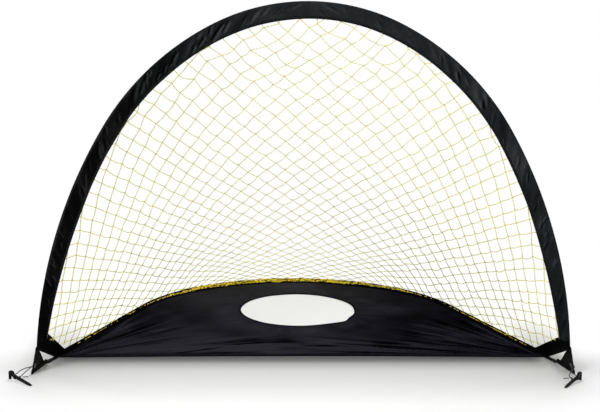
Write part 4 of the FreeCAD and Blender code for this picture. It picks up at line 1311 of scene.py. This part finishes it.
def panel_outline():
    """The panel's cut edge: along the rear sleeve's stitched edge and under the front hem."""
    s = sizes()
    line = rear_line(step=0.01)
    inset = rear_width(line.along) + 0.0003
    back = (line.wire + line.across * (inset - s.wire_inset)[:, None])[:, :2]
    front = -s.hem_width / 2
    turn = s.rear_angle
    corner_x = back[-1, 0] + (back[-1, 1] - front) * math.cos(turn) / math.sin(turn)
    x = np.linspace(-corner_x, corner_x, 60)
    edge = np.stack([x, front + hem_bow(x) + 0.002], axis=1)
    return np.concatenate([back[back[:, 1] > front + 0.004][::-1], edge])


def hem_bow(x):
    """The front hem is pulled back a little between the corners."""
    back, half = 0.009, 0.82
    return back * np.clip(1 - (x / half) ** 2, 0, 1)


def hole_edge(turn):
    """Radius of the target hole, whose edge isn't quite round."""
    bulge = HOLE_BULGE * np.exp(-((turn - HOLE_BULGE_AT) / HOLE_BULGE_HALF) ** 2)
    wave = value_noise(turn * 3.2 + 20, 0, 23) * 0.012
    return sizes().hole_diameter / 2 * (1 + bulge + wave)


def corner_fan(x, y, sign, seed):
    """Creases that fan out of one of the panel's front corners, longer near the hem."""
    corner_out, corner_ahead, bent = 0.85, 0.02, 0.10
    away_x, away_y = corner_out - sign * x, y + corner_ahead
    far = np.hypot(away_x, away_y)
    turn = np.arctan2(away_y, away_x)
    bend = turn + bent * far * np.sin(turn * 3)
    total = 0.0
    for cell, long, step, height, begins in FANS:
        fold = ridges(bend / cell, far / long + step, seed + step) - 0.25
        total = total + fold * height * np.clip(begins + far, 0, 1)
    low = np.clip((0.42 - turn) / 0.2, 0, 1)
    return total * np.clip((0.62 + 0.42 * low - far) / 0.4, 0, 1) * np.clip(far / 0.12, 0, 1)


def panel_relief(x, y):
    """Height of the stretched panel's folds: the two fans, slack cloth, one long fold at the left
    and the creases round the hole."""
    s = sizes()
    fans = corner_fan(x, y, 1, 21) + corner_fan(x, y, -1, 22)
    loose = value_noise(x / 0.2, y / 0.2, 40) * 0.0008
    loose = loose + value_noise(x / 0.06, y / 0.06, 41) * 0.0004
    slope, fold_wide, fold_deep, fold_half = 0.42, 0.011, 0.005, 0.17
    fold = (y - 0.075 - (x + 0.34) * slope) / fold_wide
    loose = loose - fold_deep * np.exp(-fold ** 2) * np.clip(1 - ((x + 0.3) / fold_half) ** 2, 0, 1)
    hole = np.hypot(x, y - s.hole_back)
    pulled = ridges(np.arctan2(y - s.hole_back, x) / 0.16, hole / 0.2, 47)
    pulled = pulled * np.clip(1 - (hole - 0.23) / 0.16, 0, 1)
    quiet = np.clip((hole - s.hole_diameter / 2 - 0.004) / 0.06, 0, 1)
    front = np.clip((y + 0.002) / 0.04, 0.2, 1)
    return (fans + loose + pulled * 0.0016) * quiet * front


def panel_rise(x, y):
    """Height of the panel's upper face."""
    return PANEL_LIFT + np.maximum(panel_relief(x, y), -0.0004)


def target_panel():
    """The panel, with its flat width and depth and its area."""
    s = sizes()
    outline = closed_evenly(panel_outline(), 800)
    hole = round_hole(outline, np.array([0, s.hole_back]), lambda turns: hole_edge(turns) + 0.0013)
    made = ringed_cloth("target_panel_cloth", outline, hole, 96, panel_rise, under=PANEL_UNDER)
    x, y, _ = np.array([v.co for v in made.data.vertices]).T
    # Painted highlight on the panel's high folds and painted shade in the low ones.
    crest_height, deepest = 0.0013, 0.9
    marked(made, "crest", np.clip(panel_relief(x, y) / crest_height, -1.5, 1.0))
    # Painted shade: darker over the right side, and half as dark toward both sides back from the hem.
    right = np.clip((x - 0.1) / 0.7, 0, 1) ** 0.7 * deepest
    corner = np.clip((np.abs(x) - 0.4) / 0.35, 0, 1) * np.clip((y - 0.04) / 0.15, 0, 1)
    marked(made, "deep", np.clip(np.maximum(right, corner * 0.5), 0, deepest))
    # Painted sheen over the panel's middle near its back.
    near_back, middle = np.clip((y - 0.45) / 0.5, 0, 1), np.clip(1.5 - np.abs(x) / 0.5, 0, 1)
    marked(made, "pale", near_back * middle)
    tints = (("pale", colours().panel_back_sheen, (0.6, 1.3)), ("deep", colours().panel_deep, (0.1, 4.5)))
    dress(made, fabric("panel_cloth", colours().panel, pitch=0.0012, rough=0.6, gloss=0.0,
                       creases=0.0006, coarse=5.0, crest=0.9, span=(0.1, 1.7), tints=tints))
    ring = np.concatenate([outline, outline[:1]])
    whole = abs(np.sum(ring[:-1, 0] * ring[1:, 1] - ring[1:, 0] * ring[:-1, 1])) / 2
    area = whole - math.pi * (s.hole_diameter / 2) ** 2
    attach(made, "ground_half")
    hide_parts("target_panel")
    return made, (np.ptp(outline[:, 0]), np.ptp(outline[:, 1])), area


def hole_binding():
    """A rolled tape round the target hole."""
    s = sizes()
    select_nothing()
    half_tape, flattened = 0.005, 0.3
    inner = s.hole_diameter / 2
    middle = inner + half_tape
    bpy.ops.mesh.primitive_torus_add(major_segments=192, minor_segments=14, major_radius=middle,
                                     minor_radius=half_tape,
                                     location=(0, s.hole_back, PANEL_LIFT))
    made = bpy.context.object
    made.name = "target_hole_tape"
    shaped(bpy.ops.transform.resize, (1, 1, flattened))
    own_rings(made, (0, s.hole_back), middle)
    for vertex in made.data.vertices:
        turn = math.atan2(vertex.co.y - s.hole_back, vertex.co.x)
        out = float(hole_edge(turn)) - inner
        vertex.co.x += out * math.cos(turn)
        vertex.co.y += out * math.sin(turn)
    bpy.ops.object.shade_smooth()
    dress(made, ribbed("hole_tape", colours().hem, stitch_at=0.0032, gloss=0.0))
    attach(made, "ground_half")
    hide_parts("target_hole_binding")
    return made


def own_rings(piece, centre, radius):
    """UV of a ring piece: distance round it and distance out from its middle line."""
    mesh = piece.data
    layer = mesh.uv_layers.active or mesh.uv_layers.new(name="UVMap")
    for polygon in mesh.polygons:
        middle = math.atan2(polygon.center.y - centre[1], polygon.center.x - centre[0])
        for loop in polygon.loop_indices:
            at = mesh.vertices[mesh.loops[loop].vertex_index].co
            turn = math.atan2(at.y - centre[1], at.x - centre[0])
            turn += FULL_TURN * round((middle - turn) / FULL_TURN)
            out = math.hypot(at.x - centre[0], at.y - centre[1]) - radius
            layer.data[loop].uv = (turn * radius, out)


def front_hem():
    """Webbing over the panel's front edge, pulled between the corners."""
    low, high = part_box("panel_front_hem")
    longer, top = 0.044, 0.0031
    x = np.linspace(low[0] - longer, high[0] + longer, 440)
    wave = value_noise(x / 0.07, 0, 15)[:, None]
    front, back = low[1], high[1]
    ring = np.array([[front + 0.0004, 0.0002], [front, 0.0012], [front + 0.0008, 0.0027],
                     [front + 0.008, top], [back - 0.006, top], [back - 0.0008, 0.0029],
                     [back, 0.0022], [back - 0.0008, 0.0013], [0.0, 0.0006]])
    on_top = ring[:, 1] > 0.002
    rows = np.zeros((len(x), len(ring), 3))
    rows[..., 0] = x[:, None]
    rows[..., 1] = ring[:, 0] + wave * 0.0006 + hem_bow(x)[:, None]
    rows[..., 2] = np.maximum(ring[:, 1] + np.maximum(wave, 0) * 0.0012 * on_top, 0)
    made = swept_piece("panel_hem_webbing", rows, ring, x)
    dress(made, ribbed("hem_webbing", colours().hem, pitch=0.002, stitch_at=0.0225, gloss=0.0))
    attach(made, "ground_half")
    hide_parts("panel_front_hem")
    return made


# Corner tabs

STRAP_LENGTH = 0.097
TAB_EYELET = np.array([0.016, 0.027])
EYELET_HOLE, EYELET_RIM = 0.005, 0.0076


class TabPlane:
    """Where a tab stands: its tip, the way along its foot, the way up it and its outward way."""

    TIP_OUT, SHOULDER = 0.026, 0.036
    THICK, HEM_WALL, GAP = 0.0024, 0.0012, 0.0003
    TOP_BY_KNEE, SHOULDER_BY_KNEE = 1.1, 0.86

    def __init__(self, sign):
        s, corner = sizes(), Corner()
        strap_end = corner.rear_foot(SEAM_INSET) - corner.side_way * STRAP_LENGTH
        tip = Vector((corner.leg_end.x + self.TIP_OUT, -s.mouth_forward, 0))
        along = (strap_end - tip).normalized()
        inward = Vector((-along.y, along.x, 0))
        near = corner.knee + corner.band_way * self.SHOULDER - tip
        side, up = near.dot(inward), near.z
        clear = s.wire_inset + self.THICK / 2 + self.GAP
        lean = math.atan2(side, up) - math.asin(clear / math.hypot(side, up))
        rising = Vector((0, 0, 1)) * math.cos(lean) + inward * math.sin(lean)
        lift = (self.THICK / 2 + self.HEM_WALL + self.GAP) * math.sin(lean)
        self.sign, self.base = sign, (strap_end - tip).length
        self.tip = self.turned(tip + Vector((0, 0, lift)))
        self.along, self.rising = self.turned(along), self.turned(rising)
        self.outward = self.turned(rising.cross(along)).normalized()
        self.strap_start = self.turned(strap_end)
        self.side_way = self.turned(corner.side_way)
        self.top = corner.knee.z * self.TOP_BY_KNEE
        self.shoulder_up = corner.knee.z * self.SHOULDER_BY_KNEE

    def turned(self, vector):
        return Vector((vector.x * self.sign, vector.y, vector.z))

    def placed(self, flat):
        """Points (back, up, out) as places in space."""
        ways = np.array([self.along, self.rising, self.outward])
        return np.array(self.tip) + sum(flat[..., k:k + 1] * ways[k] for k in range(3))


def corner_tab(tab, side):
    """Doubled cloth from the corner band down to the hem, with a hole for the eyelet."""
    foot, wide, thick = 0.0015, 0.0972, 0.0022
    ring = np.array([(0, foot), (wide, foot), (wide, 0.015), (0.036, tab.shoulder_up),
                     (TAB_EYELET[0], tab.top), (0.002, tab.top)])
    outline = closed_evenly(ring, 160)
    hole = round_hole(outline, TAB_EYELET, lambda turns: EYELET_HOLE)

    def rise(x, y):
        loose = value_noise(x / 0.02, y / 0.03, 45) * 0.0008
        loose = loose + ridges((x + y * 0.4) / 0.012, y / 0.06, 46) * 0.0006
        out = np.hypot(x - TAB_EYELET[0], y - TAB_EYELET[1]) - EYELET_RIM
        return thick / 2 + loose * np.clip(out / 0.01, 0, 1)

    made = ringed_cloth("corner_tab_cloth_" + side, outline, hole, 26, rise, thickness=thick)
    points = np.array([v.co for v in made.data.vertices])
    made.data.vertices.foreach_set("co", tab.placed(points).astype(np.float32).ravel())
    made.data.update()
    tidy_shell(made)
    dress(made, fabric("tab_cloth_" + side, colours().webbing, coarse=26.0))
    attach(made, "ground_half")
    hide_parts("corner_tab_" + side)


def tab_hem(tab, side):
    """Webbing folded up over the tab's foot."""
    x = np.linspace(0, tab.base - 0.0008, 60)
    outer, inner, top, floor = 0.0027, 0.0014, 0.015, 0.0012
    half = [(0, 0.001), (0, outer), (0.004, outer), (top - 0.001, outer), (top, outer - 0.0004),
            (top - 0.0003, inner), (floor, inner - 0.0002)]
    below = [(up, -out) for up, out in half]
    ring = np.array([below[1], below[0], *half, *below[:1:-1]])
    wave = value_noise(x / 0.012, 0, 17) * 0.0004
    above_ground = ring[:, 0] > 0.003
    flat = np.zeros((len(x), len(ring), 3))
    flat[..., 0] = x[:, None]
    flat[..., 1] = ring[:, 0]
    flat[..., 2] = ring[:, 1] + wave[:, None] * above_ground
    made = swept_piece("tab_hem_webbing_" + side, tab.placed(flat), ring, x)
    dress(made, ribbed("tab_webbing_" + side, colours().webbing, pitch=0.0022, stitch_at=0.0125))
    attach(made, "ground_half")
    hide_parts("tab_hem_" + side)


def ground_strap(tab, side):
    """Webbing lying from the tab to the foot of the rear side, with soft edges and slight waves."""
    far = np.linspace(0.0003, STRAP_LENGTH - 0.0003, 50)
    way = np.array(tab.side_way)
    across = np.array([-way[1], way[0], 0])
    half, top, edge = 0.01, 0.0018, 0.0013
    ring = np.array([(-half, 0.0005), (-half, edge), (-half + 0.0012, top), (0, top),
                     (half - 0.0012, top), (half, edge), (half, 0.0005), (half - 0.001, 0.0),
                     (-half + 0.001, 0.0)])
    wave = np.maximum(value_noise(far / 0.03, 0, 19), 0) * 0.0016
    wave = wave * np.sin(np.pi * far / STRAP_LENGTH)
    rows = (np.array(tab.strap_start) + far[:, None, None] * way + ring[None, :, :1] * across
            + np.array([0, 0, 1]) * (ring[None, :, 1:] + wave[:, None, None]))
    made = swept_piece("ground_strap_webbing_" + side, rows, ring, far)
    dress(made, ribbed("strap_webbing_" + side, colours().webbing, pitch=0.0022))
    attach(made, "ground_half")
    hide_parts("ground_strap_" + side)


# Elastic loops

LOOP_RIGHT = [(0.9109, -0.1809, 0.027), (0.9072, -0.1818, 0.0263), (0.908, -0.1877, 0.0272),
              (0.9092, -0.1967, 0.0295), (0.899, -0.2246, 0.032), (0.8888, -0.2525, 0.0285),
              (0.8994, -0.2654, 0.0219), (0.9101, -0.2764, 0.0219), (0.9092, -0.2775, 0.0068),
              (0.8971, -0.2687, 0.0064), (0.8897, -0.2635, 0.0091), (0.8807, -0.254, 0.0145),
              (0.9, -0.2237, 0.0214), (0.9192, -0.1933, 0.0254), (0.9166, -0.1857, 0.027),
              (0.9147, -0.18, 0.0278), (0.9111, -0.1809, 0.0271)]
LOOP_LEFT = [(-0.9109, -0.1809, 0.027), (-0.9072, -0.1818, 0.0263), (-0.908, -0.1877, 0.0272),
             (-0.9092, -0.1967, 0.0295), (-0.9282, -0.2149, 0.032), (-0.9472, -0.233, 0.0285),
             (-0.9559, -0.2472, 0.0219), (-0.965, -0.2596, 0.0219), (-0.9639, -0.2605, 0.0068),
             (-0.9532, -0.2502, 0.0064), (-0.9466, -0.2439, 0.0091), (-0.939, -0.2333, 0.0145),
             (-0.9291, -0.2133, 0.0214), (-0.9192, -0.1933, 0.0254), (-0.9166, -0.1857, 0.027),
             (-0.9147, -0.18, 0.0278), (-0.9111, -0.1809, 0.0271)]
TIED_AT = 10
KNOT_RADIUS = 0.0045


def cord_curve(name, points, diameter):
    """One open smooth spline with a round section."""
    curve = bpy.data.curves.new(name, "CURVE")
    curve.dimensions = "3D"
    spline = curve.splines.new("NURBS")
    spline.points.add(len(points) - 1)
    for point, place in zip(spline.points, points):
        point.co = (*place, 1)
    spline.order_u = 3
    spline.use_endpoint_u = True
    spline.resolution_u = 8
    curve.bevel_depth = diameter / 2
    curve.bevel_resolution = 3
    curve.use_fill_caps = True
    return linked(name, curve)


def overhand_knot(name, centre, way, radius, thin):
    """A small knot drawn tight: a trefoil of cord with one short end."""
    turns = np.linspace(0, FULL_TURN, 73)
    size = (radius - thin) / 2.9
    flat = np.stack([np.sin(turns) + 2 * np.sin(2 * turns), np.cos(turns) - 2 * np.cos(2 * turns),
                     -np.sin(3 * turns) * 1.3], axis=1) * size
    axis = np.array(way) / np.linalg.norm(way)
    side = np.cross(axis, [0, 0, 1])
    side /= np.linalg.norm(side)
    up = np.cross(side, axis)
    trefoil = centre + flat[:, :1] * side + flat[:, 1:2] * up + flat[:, 2:] * axis
    knot = tubes(name, trefoil[None], thin)
    tail, droop, curl = 0.027, np.array([0, 0, -0.0035]), 0.0012
    far = np.linspace(0.3, 1, 16)[:, None]
    line = centre + far * tail * axis + droop * far ** 2 + side * curl * np.sin(far * 5)
    end = tubes(name + "_end", line[None], thin)
    return join(name, [knot, end])


def elastic_loop(side, points, way):
    """A loop with its knot. way is the way in which the knot's short end points."""
    s = sizes()
    made = cord_curve("elastic_cord_" + side, points, s.loop_cord)
    look = corded("elastic_braid_" + side, colours().cord, lighter(colours().cord, 1.5),
                  twist=0.005, rough=0.7)
    dress(made, look)
    knot = overhand_knot("cord_knot_tied_" + side, np.array(points[TIED_AT]), way, KNOT_RADIUS,
                         s.loop_cord / 2)
    dress(knot, look)
    for piece, node in ((made, "elastic_loop_"), (knot, "cord_knot_")):
        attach(piece, side + "_stake")
        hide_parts(node + side)


# Studio

# Painted shadow on the floor: its grey by distance out from the panel's front hem, as a share of
# SHADE_REACH, with SHADE_HALF the half width over which it runs at full depth.
FLOOR_SHADE = ((0.0, 0.10), (0.06, 0.2), (0.12, 0.42), (0.24, 0.66), (0.42, 0.76), (0.62, 0.88),
               (0.8, 1.0))
FLOOR_DROP = 0.0008
SHADE_HALF, SHADE_REACH = 0.8, 0.6
HEM_FRONT = 0.012
SKY_STRENGTH = 0.28
SENSOR_WIDTH = 36


def distance(first, second):
    """Length of a flat way from its two parts."""
    return (first * first + second * second).power(0.5)


def floor_look():
    """Paper with a painted shadow in front of the panel's hem and a painted shade spot under the
    target hole; it turns plain white farther out.
    """
    look = Look("studio_paper")
    tooth = look.noise(scale=60.0)
    x, y, _ = look.axes("Object")
    panel_half, hem_fade, hole_shade = 0.84, 0.03, 0.15
    lit_wide, lit_deep, lit_middle = 1.35, 0.95, 0.3
    out, ahead = x.absolute(), y + HEM_FRONT
    # Painted shadow in front of the hem; the floor under the panel stays white.
    away = distance((out - SHADE_HALF).math("MAXIMUM", 0.0), ahead.absolute())
    stops = [(place, (grey, grey, grey)) for place, grey in FLOOR_SHADE]
    band = look.shade("ShaderNodeValToRGB", {"stops": stops}, {0: away / SHADE_REACH})
    hole = distance(x, y - sizes().hole_back)
    inside = (out * -1 + panel_half).held(0.0, 0.06) * ahead.held(0.0, hem_fade)
    front = look.mix(inside, band, WHITE)
    # Painted shade spot under the target hole, and the paper's tooth.
    paper_with_painted_shadows = look.mix(hole.held(0.34, 0.24) * hole_shade + tooth * 0.03, front, BLACK)
    look.finish(Base_Color=paper_with_painted_shadows, Roughness=0.85, Specular_IOR_Level=0.0,
                Normal=look.bump(tooth, distance=0.0004, strength=0.3))
    far = distance(x / lit_wide, (y - lit_middle) / lit_deep)
    far = far + y.held(-0.15, 0.1) * out.held(0.88, 1.0) * 0.3
    white = look.shade("ShaderNodeEmission", None, {"Color": WHITE, "Strength": 1.0})
    seen = look.rays_that_see_white()
    blend = look.shade("ShaderNodeMixShader", None, {
        0: far.held(0.82, 1.08) * seen, 1: Shade(look, look.shader.outputs[0]), 2: white})
    look.feed(look.tree.nodes["Material Output"].inputs["Surface"], blend)
    return look.material


def studio_floor():
    select_nothing()
    bpy.ops.mesh.primitive_grid_add(x_subdivisions=24, y_subdivisions=24, size=60,
                                    location=(0, 0, 0))
    floor = bpy.context.object
    floor.name = "studio_floor"
    shaped(bpy.ops.transform.translate, (0, 0, -FLOOR_DROP))
    dress(floor, floor_look())


def studio_world():
    """A soft even sky that the camera, gloss and glass see as white."""
    scene = bpy.context.scene
    scene.world = scene.world or bpy.data.worlds.new("studio")
    scene.world.use_nodes = True
    nodes = Nodes(scene.world.node_tree)
    nodes.tree.nodes.clear()
    sky, bright = (nodes.shade("ShaderNodeBackground", None, {"Color": WHITE, "Strength": strength})
                   for strength in (SKY_STRENGTH, 1.0))
    total = nodes.shade("ShaderNodeMixShader", None,
                        {0: nodes.rays_that_see_white(), 1: sky, 2: bright})
    nodes.node("ShaderNodeOutputWorld", None, {"Surface": total})


def softbox(name, place, target, size, power):
    data = bpy.data.lights.new(name, "AREA")
    data.shape = "SQUARE"
    data.size = size
    data.energy = power
    made = linked(name, data)
    made.location = place
    way = Vector(target) - Vector(place)
    made.rotation_euler = way.to_track_quat("-Z", "Y").to_euler()


def photo_camera():
    data = bpy.data.cameras.new("photo_camera")
    data.sensor_width = SENSOR_WIDTH
    data.lens = FOCAL_PIXELS / PHOTO_WIDTH * SENSOR_WIDTH
    data.clip_end = 200
    camera = linked("photo_camera", data)
    camera.location = tuple(Sight.PLACE)
    level = Euler((math.pi / 2 - Sight.DIP, 0, Sight.TURN)).to_matrix()
    camera.rotation_euler = (level @ Matrix.Rotation(Sight.ROLL, 3, "Z")).to_euler()
    bpy.context.scene.camera = camera
    bpy.context.scene.view_settings.view_transform = "Standard"


# Operators


class GOAL_OT_studio(bpy.types.Operator):
    """Add the floor, the lights and the camera"""
    bl_idname = "goal.studio"
    bl_label = "Studio"

    def execute(self, context):
        studio_floor()
        studio_world()
        softbox("key_softbox", (-2.2, -2.6, 3.6), (0, 0.1, 0.5), size=1.1, power=84)
        softbox("top_softbox", (0.4, 1.8, 4.2), (0, 0.4, 0.2), size=2.0, power=124)
        softbox("front_softbox", (1.7, -4.6, 1.4), (0.1, 0, 0.6), size=2.6, power=60)
        photo_camera()
        return {"FINISHED"}


class GOAL_OT_arches(bpy.types.Operator):
    """Add the sleeves of both arches, the seam binding and the corner bands"""
    bl_idname = "goal.arches"
    bl_label = "Arches"

    def execute(self, context):
        front_sleeve()
        seam_binding()
        rear_sleeve()
        cloth = fabric("corner_cloth", colours().sleeve_deep, coarse=24.0)
        for sign in (1, -1):
            dress(corner_band(sign), cloth)
        return {"FINISHED"}


class GOAL_OT_net(bpy.types.Operator):
    """Add the net and its gathered edge"""
    bl_idname = "goal.net"
    bl_label = "Net"

    def execute(self, context):
        net()
        gathered_edge()
        return {"FINISHED"}


class GOAL_OT_panel(bpy.types.Operator):
    """Add the target panel, its hem and the tape round its hole"""
    bl_idname = "goal.panel"
    bl_label = "Target panel"

    def execute(self, context):
        cloth, flat, area = target_panel()
        tape, hem = hole_binding(), front_hem()
        return {"FINISHED"}


class GOAL_OT_corners(bpy.types.Operator):
    """Add the corner tabs, their hems and the ground straps"""
    bl_idname = "goal.corners"
    bl_label = "Corner tabs"

    def execute(self, context):
        for sign, side in ((1, "right"), (-1, "left")):
            tab = TabPlane(sign)
            corner_tab(tab, side)
            tab_hem(tab, side)
            ground_strap(tab, side)
        return {"FINISHED"}


class GOAL_OT_loops(bpy.types.Operator):
    """Add the elastic loops and their knots"""
    bl_idname = "goal.loops"
    bl_label = "Elastic loops"

    def execute(self, context):
        elastic_loop("right", LOOP_RIGHT, (-0.94, 0.34, 0))
        elastic_loop("left", LOOP_LEFT, (0.94, 0.34, 0))
        return {"FINISHED"}


class GOAL_OT_fittings(bpy.types.Operator):
    """Finish the stakes, the eyelets and the sprung wire"""
    bl_idname = "goal.fittings"
    bl_label = "Fittings"

    def execute(self, context):
        steel = metal("spring_steel", colours().steel)
        plated = metal("eyelet_plate", colours().steel, rough=0.28)
        plastic = moulded("stake_plastic_black", colours().plastic)
        for name in ("front_hoop_wire", "rear_hoop_wire", "corner_wire_left", "corner_wire_right",
                     "hoop_ferrule"):
            dress_node(name, steel)
        for side in ("left", "right"):
            dress_node("tab_eyelet_" + side, plated)
            dress_node("stake_" + side, plastic)
        return {"FINISHED"}


class GOAL_PT_pieces(bpy.types.Panel):
    bl_idname = "GOAL_PT_pieces"
    bl_label = "Practice goal"
    bl_space_type = "VIEW_3D"
    bl_region_type = "UI"
    bl_category = "Goal"

    def draw(self, context):
        layout = self.layout
        for operator in OPERATORS:
            layout.operator(operator.bl_idname)
        for group in (context.scene.goal_sizes, context.scene.goal_colours):
            for name in group.__annotations__:
                layout.prop(group, name)


OPERATORS = (GOAL_OT_arches, GOAL_OT_net, GOAL_OT_panel, GOAL_OT_corners, GOAL_OT_loops,
             GOAL_OT_fittings, GOAL_OT_studio)
CLASSES = (GoalSizes, GoalColours, *OPERATORS, GOAL_PT_pieces)


def register():
    for one in CLASSES:
        bpy.utils.register_class(one)
    bpy.types.Scene.goal_sizes = bpy.props.PointerProperty(type=GoalSizes)
    bpy.types.Scene.goal_colours = bpy.props.PointerProperty(type=GoalColours)


def unregister():
    del bpy.types.Scene.goal_colours
    del bpy.types.Scene.goal_sizes
    for one in reversed(CLASSES):
        bpy.utils.unregister_class(one)


def main():
    register()
    bpy.ops.goal.arches()
    bpy.ops.goal.net()
    bpy.ops.goal.panel()
    bpy.ops.goal.corners()
    bpy.ops.goal.loops()
    bpy.ops.goal.fittings()
    bpy.ops.goal.studio()


if __name__ == "__main__":
    main()
